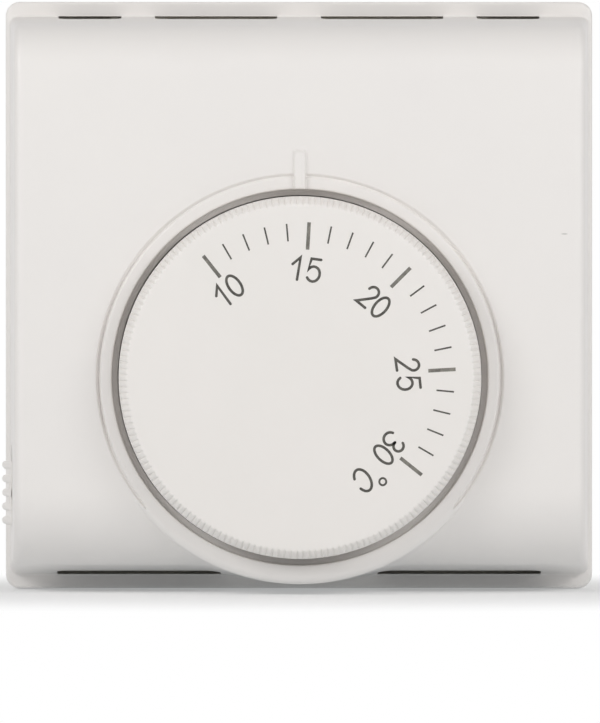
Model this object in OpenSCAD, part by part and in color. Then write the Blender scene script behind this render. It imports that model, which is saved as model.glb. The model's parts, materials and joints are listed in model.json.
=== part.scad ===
// Mechanical room thermostat: a square moulded cover with a sunk round dial, a slide
// switch on its left side, and inside a gas-filled diaphragm that works a snap switch
// through a sprung lever.
// Every piece is drawn lying on its back, with the wall at height 0 and the front up.
// upright() then stands it on the wall: X to the right, Z up, the front towards -Y.

/* [Cover] */
// Width of the cover across its rim
case_w = 83; // [82:0.5:104]
// Height of the cover across its rim
case_h = 83; // [82:0.5:104]
// Distance from the wall to the upper edge of the front face
face_d = 30; // [29.5:0.25:40]
// How much nearer to the wall the lower edge of the front face lies
face_fall = 0.9; // [0:0.1:2]
// Distance from the wall to the front of the rim
rim_d = 8; // [7.5:0.25:9]
// Width of the rim's step above and below the hood
rim_end = 2.15; // [1.5:0.05:2.4]
// Width of the rim's step at the two sides
rim_side = 0.65; // [0.5:0.05:0.9]
// Radius of the rim's corners
corner_r = 2; // [1.5:0.1:4]
// Wall thickness of the mouldings
wall = 1.8; // [1.4:0.1:2.2]
// Radius of the curve along the hood's top edge
top_r = 6; // [4:0.25:8]
// Radius of the curve along the hood's bottom edge
bottom_r = 10.5; // [8:0.25:12]
// Radius of the hood's side edges
side_r = 1.2; // [0.6:0.1:1.8]
// Draft of the top and bottom walls between rim and curve
end_draft = 1.7; // [1:0.1:2]
// Draft of the side walls between rim and front
side_draft = 1.35; // [0.8:0.05:1.5]
// Height of the vents above the rim
vent_h = 4.2; // [1.5:0.1:5]

/* [Dial] */
// How far the dial's axis lies below the middle of the cover
dial_drop = 11.4; // [10.5:0.1:12]
// Radius of the dial
dial_r = 25.1; // [20.5:0.1:25.2]
// How far the dial stands in front of the collar
dial_proud = 5.6; // [4:0.1:8]
// Number of serrations round the dial
dial_teeth = 150; // [90:2:180]
// Depth of a serration
tooth_h = 0.6; // [0.3:0.1:0.8]
// Width of the dial's serrated bevel
dial_bevel = 1; // [0.6:0.1:1.4]
// Gap between the dial and the wall of its well
dial_gap = 1; // [0.8:0.1:1.4]
// Width of the flat collar round the well
collar_w = 1.5; // [1.2:0.05:1.8]
// Radius of the collar's rounded outer edge
collar_round = 1.1; // [0.6:0.1:1.2]
// Depth of the well below the collar
well_depth = 4.9; // [4.5:0.1:5.5]
// Width of the pointer rib above the dial
pointer_w = 1.6; // [1:0.1:2.4]
// Length of the pointer rib
pointer_l = 5.3; // [4:0.1:8]
// Radius of the dial's spindle
spindle_r = 3; // [2.5:0.1:3.2]

/* [Slide switch] */
// Distance from the cover's bottom edge to the middle of the slider
slider_up = 13.6; // [13.2:0.1:16]
// Height of the slider's middle above the wall
slider_z = 15.5; // [15:0.1:16]
// Length of the slider's grip
grip_l = 9; // [7:0.1:10]
// How far the slider moves from OFF to ON
slider_travel = 4; // [3:0.1:4.4]
// How far the grip stands out of the side wall
grip_out = 1.5; // [1.2:0.05:1.8]

/* [Mechanism] */
// Radius of the diaphragm capsule
capsule_r = 18.5; // [15:0.25:18.8]
// Thickness of the diaphragm capsule
capsule_t = 5.2; // [4:0.1:6]
// Thickness of the lever sheet
lever_t = 1; // [0.8:0.1:1.2]
// Thickness of the chassis sheet
chassis_t = 0.8; // [0.6:0.1:1]
// Radius of the lever's pivot pin
pin_r = 1; // [0.8:0.1:1.2]
// Wire radius of the range spring
spring_wire = 0.45; // [0.3:0.05:0.5]
// Radius of the range spring at the lever
spring_r = 6.4; // [5.4:0.1:7]
// Distance between neighbouring terminals
terminal_pitch = 8; // [7.5:0.25:8.5]

/* [Fixing] */
// Thickness of the base plate's floor
base_t = 2.2; // [1.8:0.1:2.6]
// Distance between the two fixing slots
slot_spacing = 60; // [60:0.5:62]
// Width of a fixing slot
slot_w = 4; // [3.6:0.1:4.6]
// Length of a fixing slot
slot_l = 8; // [6:0.5:9]
// Height of the fixing slots above the middle of the case
slot_y = 5; // [3:0.5:6]

/* [Fits] */
// Radial clearance of a turning or sliding fit
run_gap = 0.08; // [0.05:0.01:0.1]
// Clearance between fixed pieces that are pushed together
fit_gap = 0.1; // [0.05:0.05:0.2]
// Clearance of moving pieces that must not rub
free_gap = 0.35; // [0.3:0.05:0.5]

/* [Hidden] */
$fn = 48;
nil = 0.01;

// Cover outline
foot_x = case_w / 2 - rim_side;
foot_y = case_h / 2 - rim_end;
skirt_t = 1.3;
ledge_t = 1.6;
collar_z = face_d - 0.6;
collar_r = dial_r + dial_gap + collar_w;
collar_foot = collar_r + collar_round + 0.6;
well_r = dial_r + dial_gap;
well_z = collar_z - well_depth;
well_t = 1.5;
dial_y = -dial_drop;
base_w = case_w - 2 * skirt_t - 4 * fit_gap;
base_h = case_h - 2 * skirt_t - 4 * fit_gap;
rim_top = rim_d - ledge_t;
top_vents = [[3.1, 20.4], [25.1, 34]];
low_vents = [[11.1, 34.2]];
hook_x = 22.75;
hook_w = 4.4;

// Heights of the stacked mechanism
chassis_z = base_t + 1.4;
capsule_z = chassis_z + chassis_t;
button_z = capsule_z + capsule_t;
lever_z = button_z + 0.8;
bridge_t = 1.2;
bridge_top = well_z - well_t - 1.2;
bridge_z = bridge_top - bridge_t;
nut_t = 1.4;
nut_z = bridge_z - 3 - nut_t;
collar_stop_z = bridge_z - 1.6;
bush_top = well_z + 0.9;
clip_z = bush_top + 0.45;
dial_top = collar_z + dial_proud;
dial_low = well_z + 0.8;
dial_plate = 2;

// Lever and snap switch
pivot_y = dial_y - capsule_r - 4.1;
pivot_z = lever_z + 2.6;
capsule_top = dial_y + capsule_r;
snap_l = 19.8;
snap_w = 6.4;
snap_h = 9.1;
snap_x = 2.6;
snap_y = max(capsule_top + 3.1, dial_y + (well_r - 3.9) / sqrt(2) + 4.4);
snap_z = base_t + 4;
plunger_r = 1;
plunger_y = snap_y + snap_w / 2;
plunger_top = snap_z + snap_h + 0.8;
tongue_z = plunger_top + 0.9;
tongue_w = 8;

// Terminal block
terminals = 5;
first_x = -(terminals - 1) / 2 * terminal_pitch;
block_y = snap_y + snap_w + 2.4;
block_w = terminals * terminal_pitch + 2;
block_d = 9;
block_h = 11.3;
entry_y = block_y + block_d + 0.8;
entry_w = 28;
entry_h = 8;

// Slide switch
slider_y = -case_h / 2 + slider_up;
slider_x = side_at(slider_z);
track_y = slider_y + slider_travel / 2;
sw_x = slider_x - wall - 0.5;
sw_w = 6.7;
sw_wall = 1.2;
carriage_l = 6.6;
sw_l = carriage_l + slider_travel + 0.4 + 2 * sw_wall;
sw_z = slider_z - 4.1;
sw_h = 7.6;

// Screws of the cover, the chassis and the bridge
screw_at = (well_r - 3.9) / sqrt(2);
pillar_r = 3.2;
pillar_at = max(screw_at, (capsule_r + pillar_r + 0.5) / sqrt(2));
chassis_screw = [16.8, pivot_y + 1];
bridge_foot = min(27.8, sw_x - sw_w - 3.5);
bridge_w = 14;
limit_r = 15;
limit_pin_r = 1.2;
limit_a = 86 + asin((2 + limit_pin_r + free_gap) / limit_r);
guide_x = 9.5;

// Half width of the hood at a height above the wall
function side_at(z) = foot_x - side_draft * (z - rim_d) / (face_d - side_r - rim_d);

// Point where a line from p touches a circle, on the side that s picks
function touch(p, c, r, s) =
    let (v = p - c, a = acos(r / norm(v)), b = atan2(v[1], v[0]))
    c + r * [cos(b + s * a), sin(b + s * a)];

// Direction in which the common tangent of two circles lies from their centres
function tangent_dir(c1, r1, c2, r2) =
    let (v = c2 - c1)
    atan2(v[1], v[0]) - acos((r1 - r2) / norm(v));

function ray(c, r, a) = c + r * [cos(a), sin(a)];

function unit(v) = v / norm(v);

// Stands a piece on the wall
module upright() {
    rotate([90, 0, 0])
        children();
}

module rounded_square(w, h, r) {
    square([w - 2 * r, h], center = true);
    square([w, h - 2 * r], center = true);
    for (sx = [-1, 1], sy = [-1, 1])
        translate([sx * (w / 2 - r), sy * (h / 2 - r)])
            circle(r = r);
}

module rounded_plate(w, h, r, z0, z1) {
    translate([0, 0, z0])
        linear_extrude(z1 - z0)
            rounded_square(w, h, r);
}

module tube(r_out, r_in, z0, z1) {
    translate([0, 0, z0])
        rotate_extrude()
            translate([r_in, 0])
                square([r_out - r_in, z1 - z0]);
}

module disc(r, z0, z1) {
    translate([0, 0, z0])
        cylinder(r = r, h = z1 - z0);
}

module block(x0, x1, y0, y1, z0, z1) {
    translate([x0, y0, z0])
        cube([x1 - x0, y1 - y0, z1 - z0]);
}

// Pan-head screw along the height axis, head up, with a straight driving slot
module pan_screw(head_r, head_h, shank_r, z_seat, z_tip) {
    difference() {
        union() {
            disc(head_r, z_seat, z_seat + head_h * 0.55);
            translate([0, 0, z_seat + head_h * 0.55])
                cylinder(r1 = head_r, r2 = head_r * 0.72, h = head_h * 0.45);
            disc(shank_r, z_tip + shank_r, z_seat + nil);
            translate([0, 0, z_tip])
                cylinder(r1 = shank_r * 0.35, r2 = shank_r, h = shank_r + nil);
        }
        block(-head_r, head_r, -head_r * 0.14, head_r * 0.14, z_seat + head_h * 0.45, z_seat + head_h + 1);
    }
}

// Corner of a wire's route, rounded between the middles of its two straights
function bend(a, p, b, n) =
    let (ca = min(2.5, norm(a - p) * 0.48), cb = min(2.5, norm(b - p) * 0.48),
        q0 = p + ca * unit(a - p), q1 = p + cb * unit(b - p))
    [for (k = [0 : n]) let (t = k / n) (1 - t) * (1 - t) * q0 + 2 * t * (1 - t) * p + t * t * q1];

// Insulated wire or lead along a route given by its corners
module wire(route, r) {
    sides = 8;
    last = len(route) - 1;
    path = concat([route[0]], [for (i = [1 : 1 : last - 1]) each bend(route[i - 1], route[i], route[i + 1], 4)],
        [route[last]]);
    n = len(path) - 1;
    dir = [for (i = [0 : n]) unit(path[min(i + 1, n)] - path[max(i - 1, 0)])];
    start = unit(cross(dir[0], abs(dir[0][2]) < 0.8 ? [0, 0, 1] : [1, 0, 0]));
    // the side direction is carried along the route without twisting
    side = [for (i = 0, v = start; i <= n; i = i + 1,
        v = i <= n ? unit(v - (v * dir[i]) * dir[i]) : v) v];
    pts = [for (i = [0 : n], j = [0 : sides - 1])
        let (a = 360 * j / sides, up = cross(dir[i], side[i]))
        path[i] + r * (cos(a) * side[i] + sin(a) * up)];
    polyhedron(points = pts, faces = concat(
        [[for (j = [sides - 1 : -1 : 0]) j]],
        [[for (j = [0 : sides - 1]) n * sides + j]],
        [for (i = [0 : n - 1], j = [0 : sides - 1])
            let (k = (j + 1) % sides)
            [i * sides + j, i * sides + k, (i + 1) * sides + k, (i + 1) * sides + j]]));
}

// Section of the hood between its two ends or its two sides: a drafted wall on each
// side, a curve into the face on each side, and the face between them
module hood_section(foot, draft, r_a, r_b, z_a, z_b, low, high) {
    ca = [foot - draft - r_a, z_a - r_a];
    cb = [-(foot - draft - r_b), z_b - r_b];
    dir = tangent_dir(ca, r_a, cb, r_b);
    union() {
        translate(ca)
            circle(r = r_a);
        translate(cb)
            circle(r = r_b);
        polygon([
            [foot, low], [foot, high], touch([foot, high], ca, r_a, 1), ray(ca, r_a, dir),
            ray(cb, r_b, dir), touch([-foot, high], cb, r_b, -1), [-foot, high], [-foot, low]
        ]);
    }
}

// The hood as a solid whose skin lies inset inside the outer one
module hood(inset, low) {
    fx = foot_x - inset;
    fy = foot_y - inset;
    tilt = atan(face_fall / (2 * (foot_y - end_draft) - top_r - bottom_r));
    intersection() {
        rotate([90, 0, 90])
            linear_extrude(case_w, center = true)
                hood_section(fy, end_draft, top_r - inset, bottom_r - inset,
                    face_d - inset, face_d - face_fall - inset, low, rim_d);
        translate([0, foot_y - end_draft - top_r, face_d])
            rotate([90 + tilt, 0, 0])
                translate([0, -face_d, 0])
                    linear_extrude(2.4 * case_h, center = true)
                        hood_section(fx, side_draft, max(side_r - inset, 0.3), max(side_r - inset, 0.3),
                            face_d - inset, face_d - inset, low - 3, rim_d);
        translate([0, 0, low])
            linear_extrude(face_d)
                rounded_square(2 * fx, 2 * fy, corner_r - 0.2);
    }
}

// Slot through the end walls, with its front corners rounded, and the opening in the
// rim behind it
module vent(x0, x1, side) {
    r = min(1.5, vent_h * 0.42);
    translate([0, side * (foot_y - 1.1), 0])
        block(x0, x1, -1.2, 1.2, rim_top - 0.6, rim_d + 0.5);
    translate([0, side * (foot_y - 1), rim_d])
        rotate([90, 0, 0])
            linear_extrude(2 * wall + 1.2, center = true) {
                translate([x0, 0])
                    square([x1 - x0, vent_h - r]);
                translate([x0 + r, 0])
                    square([x1 - x0 - 2 * r, vent_h]);
                for (x = [x0 + r, x1 - r])
                    translate([x, vent_h - r])
                        circle(r = r);
            }
}

module cover() {
    cone_l = collar_z - rim_d;
    color([0.93, 0.92, 0.9])
    difference() {
        union() {
            rounded_plate(case_w, case_h, corner_r, 0.6, rim_d);
            hood(0, rim_d - 1);
            translate([0, dial_y, rim_d - 1])
                rotate_extrude()
                    polygon([
                        [0, 0], [collar_foot, 0], [collar_foot, 1],
                        for (a = [0 : 15 : 90])
                            [collar_r, 1 + cone_l - collar_round] + collar_round * [cos(a), sin(a)],
                        [0, 1 + cone_l]
                    ]);
            block(-pointer_w / 2, pointer_w / 2, dial_y + well_r - 1, dial_y + well_r + pointer_l,
                collar_z - 2, face_d + 0.35);
        }
        // hollow of the cover, with the well, the screw boss and the hooks left standing
        difference() {
            union() {
                rounded_plate(case_w - 2 * skirt_t, case_h - 2 * skirt_t, corner_r - 0.7, 0, rim_top);
                hood(wall, rim_top - 0.5);
                translate([0, dial_y, rim_top - 0.5])
                    cylinder(r1 = collar_foot - wall, r2 = collar_r + collar_round - wall,
                        h = well_z - well_t - rim_top + 0.5);
            }
            translate([0, dial_y, 0])
                disc(well_r + well_t, well_z - well_t, face_d + 1);
            translate([screw_at, dial_y + screw_at, 0])
                disc(4.3, well_z - 4, well_z);
            for (sx = [-1, 1])
                block(sx * hook_x - hook_w / 2, sx * hook_x + hook_w / 2, base_h / 2 - 0.9,
                    case_h / 2, 3.4, 5);
        }
        translate([0, dial_y, 0]) {
            disc(well_r, well_z, face_d + 2);
            disc(5.3, well_z - well_t - 1, well_z + 1);
            for (a = [-limit_a : limit_a / 6 : limit_a + 1])
                rotate(a)
                    translate([0, limit_r, 0])
                        disc(limit_pin_r + 0.02, well_z - well_t - 1, well_z + 1);
        }
        translate([screw_at, dial_y + screw_at, 0]) {
            disc(1.6, well_z - 5, well_z);
            disc(3, well_z - 2.4, well_z + 0.1);
        }
        for (sx = [-1, 1]) {
            for (v = top_vents)
                vent(min(sx * v), max(sx * v), 1);
            for (v = low_vents)
                vent(min(sx * v), max(sx * v), -1);
        }
        block(-foot_x - 1, -slider_x + wall + 1.5, slider_y - 2.8, slider_y + slider_travel + 2.8,
            slider_z - 1.75, slider_z + 1.75);
    }
}

module slot(x) {
    translate([x, slot_y, -1])
        linear_extrude(base_t + 6) {
            square([slot_l - slot_w, slot_w], center = true);
            for (s = [-1, 1])
                translate([s * (slot_l - slot_w) / 2, 0])
                    circle(r = slot_w / 2);
        }
}

module base_plate() {
    rim_w = 1.6;
    color([0.9, 0.89, 0.86])
    difference() {
        union() {
            difference() {
                rounded_plate(base_w, base_h, corner_r - 0.8, 0, rim_top);
                rounded_plate(base_w - 2 * rim_w, base_h - 2 * rim_w, 0.6, base_t, rim_top + 1);
            }
            // raised seats round the fixing slots
            for (sx = [-1, 1])
                translate([sx * slot_spacing / 2, slot_y, base_t - nil])
                    linear_extrude(0.8)
                        rounded_square(slot_l + 3.4, slot_w + 3.4, 2.4);
            // chassis posts and the rest under the chassis neck
            for (sx = [-1, 1])
                translate([sx * chassis_screw[0], chassis_screw[1], 0])
                    disc(2.9, base_t - nil, chassis_z);
            block(-8, 8, capsule_top - 2.1, capsule_top + 1.9, base_t - nil, chassis_z);
            // bridge seats
            for (sx = [-1, 1])
                block(sx * bridge_foot - 3.6, sx * bridge_foot + 3.6, dial_y - 7, dial_y + 7,
                    base_t - nil, base_t + 1.2);
            // pillar of the cover screw, which steps inwards above the capsule if it has to
            translate([screw_at, dial_y + screw_at, 0])
                disc(pillar_r, button_z + 1, well_z - 4 - fit_gap);
            translate([pillar_at, dial_y + pillar_at, 0]) {
                disc(pillar_r, base_t - nil, button_z + 3);
                for (a = [45, 135, 225, 315])
                    rotate(a)
                        block(-0.5, 0.5, 0, pillar_r + (a == 135 ? 0 : 1.2), base_t - nil, base_t + 6);
            }
            // terminal block seats
            for (sx = [-1, 1])
                block(sx * (block_w / 2 + 3) - 2.6, sx * (block_w / 2 + 3) + 2.6, block_y + 2,
                    block_y + block_d - 2, base_t - nil, base_t + 2);
            // slide switch stand
            block(-sw_x, -sw_x + sw_w, track_y - sw_l / 2, track_y + sw_l / 2, base_t - nil, sw_z);
            block(-sw_x, -sw_x + sw_w, track_y - sw_l / 2 - 1.3, track_y - sw_l / 2 - fit_gap,
                base_t - nil, sw_z + 1.6);
            block(-sw_x, -sw_x + sw_w, track_y + sw_l / 2 + fit_gap, track_y + sw_l / 2 + 1.4,
                base_t - nil, sw_z + 4.6);
            // stiffening frame round the cable entry
            translate([0, entry_y + entry_h / 2, base_t - nil])
                linear_extrude(1)
                    rounded_square(entry_w + 2.4, entry_h + 1.4, 1.2);
        }
        for (sx = [-1, 1]) {
            slot(sx * slot_spacing / 2);
            translate([sx * chassis_screw[0], chassis_screw[1], 0])
                disc(1.25, 0.9, chassis_z + 1);
            translate([sx * bridge_foot, dial_y, 0])
                disc(1.25, 0.9, base_t + 2);
            translate([sx * (block_w / 2 + 3), block_y + block_d / 2, 0])
                disc(1.25, 0.9, base_t + 3);
            // notches for the cover's hooks
            block(sx * hook_x - hook_w / 2 - 0.4, sx * hook_x + hook_w / 2 + 0.4,
                base_h / 2 - rim_w - 0.5, base_h / 2 + 1, 3, 5.4);
            // the rim is cut away behind the vents, apart from the posts beside the hooks
            for (v = [[top_vents[0][0], hook_x - hook_w / 2 - 1.8],
                    [hook_x + hook_w / 2 + 1.8, top_vents[1][1]]])
                block(min(sx * v), max(sx * v), base_h / 2 - rim_w - 0.5, base_h / 2 + 1,
                    base_t + 0.4, rim_top + 1);
            for (v = low_vents)
                block(min(sx * v), max(sx * v), -base_h / 2 - 1, -base_h / 2 + rim_w + 0.5,
                    base_t + 0.4, rim_top + 1);
        }
        translate([screw_at, dial_y + screw_at, 0])
            disc(1.5, 4, well_z);
        translate([0, entry_y + entry_h / 2, -1])
            linear_extrude(base_t + 4)
                rounded_square(entry_w, entry_h, 1);
        // hollow of the slide switch stand
        block(-sw_x + 1.4, -sw_x + sw_w - 1.4, track_y - sw_l / 2 + 1.4, track_y + sw_l / 2 - 1.4,
            base_t, sw_z - 1.4);
        block(-sw_x + sw_w - 2, -sw_x + sw_w + 1, track_y - sw_l / 2 + 1.4, track_y + sw_l / 2 - 1.4,
            base_t, sw_z - 1.4);
        // shallow recesses in the back
        for (sx = [-1, 1]) {
            block(sx * 21 - 12, sx * 21 + 12, -base_h / 2 + 6, -7, -1, 0.7);
            block(sx * 27 - 9, sx * 27 + 9, base_h / 2 - 20, base_h / 2 - 6, -1, 0.7);
        }
    }
}

module cover_screw() {
    color([0.75, 0.75, 0.73])
    translate([screw_at, dial_y + screw_at, 0])
        pan_screw(2.6, 1.8, 1.42, well_z - 2.4, well_z - 15);
}

module dial() {
    edge = dial_top - dial_bevel;
    hub_low = clip_z + 1;
    color([0.91, 0.9, 0.88])
    translate([0, dial_y, 0])
    difference() {
        union() {
            intersection() {
                translate([0, 0, dial_low])
                    linear_extrude(dial_top - dial_low)
                        polygon([for (i = [0 : 2 * dial_teeth - 1])
                            ray([0, 0], dial_r + 0.12 - (i % 2) * (tooth_h + 0.12), i * 180 / dial_teeth)]);
                rotate_extrude()
                    polygon([
                        [0, dial_top], [dial_r - dial_bevel, dial_top], [dial_r, edge],
                        [dial_r, dial_low + 0.5], [dial_r - 0.5, dial_low], [dial_r - 2.2, dial_low],
                        [dial_r - 2.2, dial_top - dial_plate], [0, dial_top - dial_plate]
                    ]);
            }
            disc(5.5, hub_low, dial_top - dial_plate + nil);
            for (a = [0 : 60 : 300])
                rotate(a)
                    block(-0.5, 0.5, 4, dial_r - 2, dial_top - dial_plate - 2, dial_top - dial_plate + nil);
            // stop that runs between the two limit pins
            rotate(-45)
                block(-2, 2, limit_r - 2, limit_r + 2, well_z + 1.7, dial_top - dial_plate + nil);
        }
        // D-shaped bore for the spindle
        difference() {
            disc(spindle_r + 0.02, hub_low - 1, dial_top - 1.5);
            block(-spindle_r - 1, spindle_r + 1, spindle_r * 0.72 + 0.02, spindle_r + 1, hub_low - 2, dial_top);
        }
    }
}

module spindle() {
    top = dial_top - 1.7;
    color([0.78, 0.78, 0.76])
    translate([0, dial_y, 0])
    difference() {
        union() {
            disc(2.5, lever_z + lever_t + 2.2, collar_stop_z + nil);
            disc(4.6, collar_stop_z, collar_stop_z + 0.8);
            disc(spindle_r, collar_stop_z + 0.8 - nil, top);
        }
        tube(spindle_r + 1, spindle_r - 0.6, clip_z - 0.05, clip_z + 0.65);
        block(-spindle_r - 1, spindle_r + 1, spindle_r * 0.72, spindle_r + 1, clip_z + 0.9, top + 1);
    }
}

module spindle_clip() {
    color([0.6, 0.6, 0.62])
    translate([0, dial_y, 0])
    difference() {
        disc(4.6, clip_z, clip_z + 0.6);
        disc(spindle_r - 0.58, clip_z - 1, clip_z + 1);
        block(-1.9, 1.9, -6, 0, clip_z - 1, clip_z + 1);
    }
}

module wave_washer() {
    color([0.55, 0.55, 0.57])
    translate([0, dial_y, 0])
        tube(4.9, spindle_r + 0.3, bush_top, clip_z - 0.05);
}

module spindle_bush() {
    color([0.8, 0.65, 0.35])
    translate([0, dial_y, 0])
    difference() {
        union() {
            disc(6.5, bridge_z - 0.7, bridge_z);
            disc(5, bridge_z - nil, bush_top);
        }
        disc(spindle_r + run_gap, bridge_z - 2, bush_top + 1);
    }
}

module limit_pins() {
    color([0.75, 0.3, 0.25])
    translate([0, dial_y, 0])
        for (s = [-1, 1])
            rotate(s * limit_a)
                translate([0, limit_r, 0]) {
                    disc(limit_pin_r, well_z - well_t, well_z + 3.4);
                    translate([0, 0, well_z + 3.4 - nil])
                        cylinder(r1 = limit_pin_r, r2 = limit_pin_r - 0.4, h = 0.6);
                }
}

// Hat-shaped steel strip over the capsule, which carries the spindle
module bridge() {
    leg = bridge_foot - 4.2;
    foot_z = base_t + 1.2;
    out = bridge_foot + 3.4;
    r = 1.2;
    color([0.72, 0.73, 0.74])
    difference() {
        translate([0, dial_y, 0])
            rotate([90, 0, 0])
                linear_extrude(bridge_w, center = true)
                    difference() {
                        union() {
                            translate([-out, foot_z])
                                square([2 * out, bridge_t]);
                            translate([0, (foot_z + bridge_top) / 2])
                                rounded_square(2 * leg, bridge_top - foot_z, r + bridge_t);
                            translate([-leg, foot_z])
                                square([2 * leg, 4]);
                        }
                        translate([0, (foot_z + bridge_z) / 2 - 2])
                            rounded_square(2 * (leg - bridge_t), bridge_z - foot_z + 4, r);
                    }
        translate([0, dial_y, 0])
            disc(5 + 0.02, bridge_z - 1, bridge_top + 1);
        for (sx = [-1, 1]) {
            translate([sx * bridge_foot, dial_y, 0])
                disc(1.6, 0, foot_z + bridge_t + 1);
            translate([sx * guide_x, dial_y, 0])
                disc(1 + 0.02, bridge_z - 1, bridge_top + 1);
            // windows that lighten the legs
            block(sx * leg - 3, sx * leg + 3, dial_y - 3.5, dial_y + 3.5, foot_z + 5, bridge_z - 4);
        }
    }
}

module bridge_screws() {
    color([0.75, 0.75, 0.73])
    for (sx = [-1, 1])
        translate([sx * bridge_foot, dial_y, 0])
            pan_screw(2.5, 1.8, 1.2, base_t + 1.2 + bridge_t, 0.95);
}

module guide_pins() {
    color([0.75, 0.75, 0.73])
    for (sx = [-1, 1])
        translate([sx * guide_x, dial_y, 0])
            disc(1, nut_z - 3.2, bridge_top);
}

module adjuster_nut() {
    color([0.8, 0.65, 0.35])
    translate([0, dial_y, 0])
    difference() {
        union() {
            translate([0, 0, nut_z])
                linear_extrude(nut_t) {
                    square([2 * guide_x, 8.4], center = true);
                    circle(r = spring_r + 0.9);
                    for (sx = [-1, 1])
                        translate([sx * guide_x, 0])
                            circle(r = 2.6);
                }
            disc(4, nut_z, nut_z + nut_t + 0.8);
            disc(4.4, nut_z - 1, nut_z + nil);
        }
        disc(2.5 + run_gap, nut_z - 2, nut_z + nut_t + 2);
        for (sx = [-1, 1])
            translate([sx * guide_x, 0, 0])
                disc(1 + run_gap, nut_z - 1, nut_z + nut_t + 1);
    }
}

// Coil drawn as one tube along a helix, wider at the lever than at the nut
module range_spring() {
    turns = 3.5;
    steps = 70;
    sides = 8;
    z0 = lever_z + lever_t + spring_wire + 0.05;
    z1 = nut_z - spring_wire - 0.05;
    ra = spring_r;
    rb = 5.1 + spring_wire;
    rise = z1 - z0;
    ring = [for (i = [0 : steps])
        let (t = i / steps, a = 360 * turns * t, r = ra + (rb - ra) * t,
            // flat end coils, so the height eases in and out
            h = z0 + rise * (t - sin(360 * t) / 360 * 57.3 * 0.8))
        [for (j = [0 : sides - 1])
            let (b = 360 * j / sides)
            [(r + spring_wire * cos(b)) * cos(a), (r + spring_wire * cos(b)) * sin(a), h + spring_wire * sin(b)]]];
    pts = [for (q = ring, p = q) p];
    color([0.5, 0.5, 0.52])
    translate([0, dial_y, 0])
        polyhedron(points = pts, faces = concat(
            [[for (j = [0 : sides - 1]) j]],
            [[for (j = [sides - 1 : -1 : 0]) steps * sides + j]],
            [for (i = [0 : steps - 1], j = [0 : sides - 1])
                let (k = (j + 1) % sides)
                [i * sides + j, (i + 1) * sides + j, (i + 1) * sides + k, i * sides + k]]));
}

module lever() {
    low = pivot_y - 2;
    shoulder = capsule_top + 0.2;
    color([0.74, 0.74, 0.72])
    difference() {
        union() {
            translate([0, 0, lever_z])
                linear_extrude(lever_t) {
                    translate([-11.6, low])
                        square([23.2, 5]);
                    polygon([
                        [-11.6, low + 5], [11.6, low + 5], [6.5, dial_y - 7],
                        [5, shoulder], [-5, shoulder], [-6.5, dial_y - 7]
                    ]);
                    translate([0, dial_y])
                        circle(r = spring_r + 1.4);
                }
            // ears for the pivot pin
            for (sx = [-1, 1])
                translate([sx * 11.2, pivot_y, 0])
                    rotate([90, 0, 90])
                        linear_extrude(0.8, center = true) {
                            translate([-2, lever_z])
                                square([4.4, pivot_z - lever_z]);
                            translate([0, pivot_z])
                                circle(r = 2);
                        }
            // step up to the tongue over the snap switch
            block(-5, 5, shoulder - nil, shoulder + lever_t, lever_z, tongue_z + lever_t);
            translate([0, 0, tongue_z])
                linear_extrude(lever_t) {
                    translate([-tongue_w / 2, shoulder])
                        square([tongue_w, plunger_y - shoulder]);
                    translate([0, plunger_y])
                        circle(r = tongue_w / 2);
                }
        }
        translate([0, pivot_y, pivot_z])
            rotate([0, 90, 0])
                cylinder(r = pin_r + run_gap, h = 40, center = true);
        translate([0, plunger_y, tongue_z - 1])
            cylinder(r = 1.5 + 0.02, h = 4);
        // two holes that lighten the arm
        translate([0, dial_y - 14.6, lever_z - 1])
            cylinder(r = 2.6, h = 4);
        translate([0, (dial_y + spring_r + 1.4 + shoulder) / 2, lever_z - 1])
            cylinder(r = 2, h = 4);
    }
}

module lever_pin() {
    color([0.8, 0.8, 0.8])
    translate([0, pivot_y, pivot_z])
        rotate([0, 90, 0]) {
            translate([0, 0, -14.6])
                cylinder(r = pin_r, h = 29.2);
            translate([0, 0, -14.6])
                cylinder(r = pin_r + 0.9, h = 0.8);
        }
}

module pin_clip() {
    color([0.6, 0.6, 0.62])
    translate([13.65, pivot_y, pivot_z])
        rotate([0, 90, 0])
            difference() {
                cylinder(r = pin_r + 1.1, h = 0.5);
                translate([0, 0, -1])
                    cylinder(r = pin_r + 0.02, h = 3);
            }
}

module calibration_screw() {
    color([0.8, 0.65, 0.35])
    translate([0, plunger_y, 0])
    difference() {
        union() {
            disc(1.5, plunger_top + 0.6, tongue_z + lever_t + 2.8);
            translate([0, 0, plunger_top + fit_gap])
                cylinder(r1 = 0.8, r2 = 1.5, h = 0.5 + nil);
        }
        block(-2, 2, -0.25, 0.25, tongue_z + lever_t + 2.1, tongue_z + lever_t + 4);
    }
}

module calibration_nut() {
    color([0.8, 0.65, 0.35])
    translate([0, plunger_y, 0])
    difference() {
        translate([0, 0, tongue_z + lever_t])
            cylinder(r = 3, h = 1.6, $fn = 6);
        disc(1.5 + 0.02, tongue_z, tongue_z + 6);
    }
}

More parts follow.
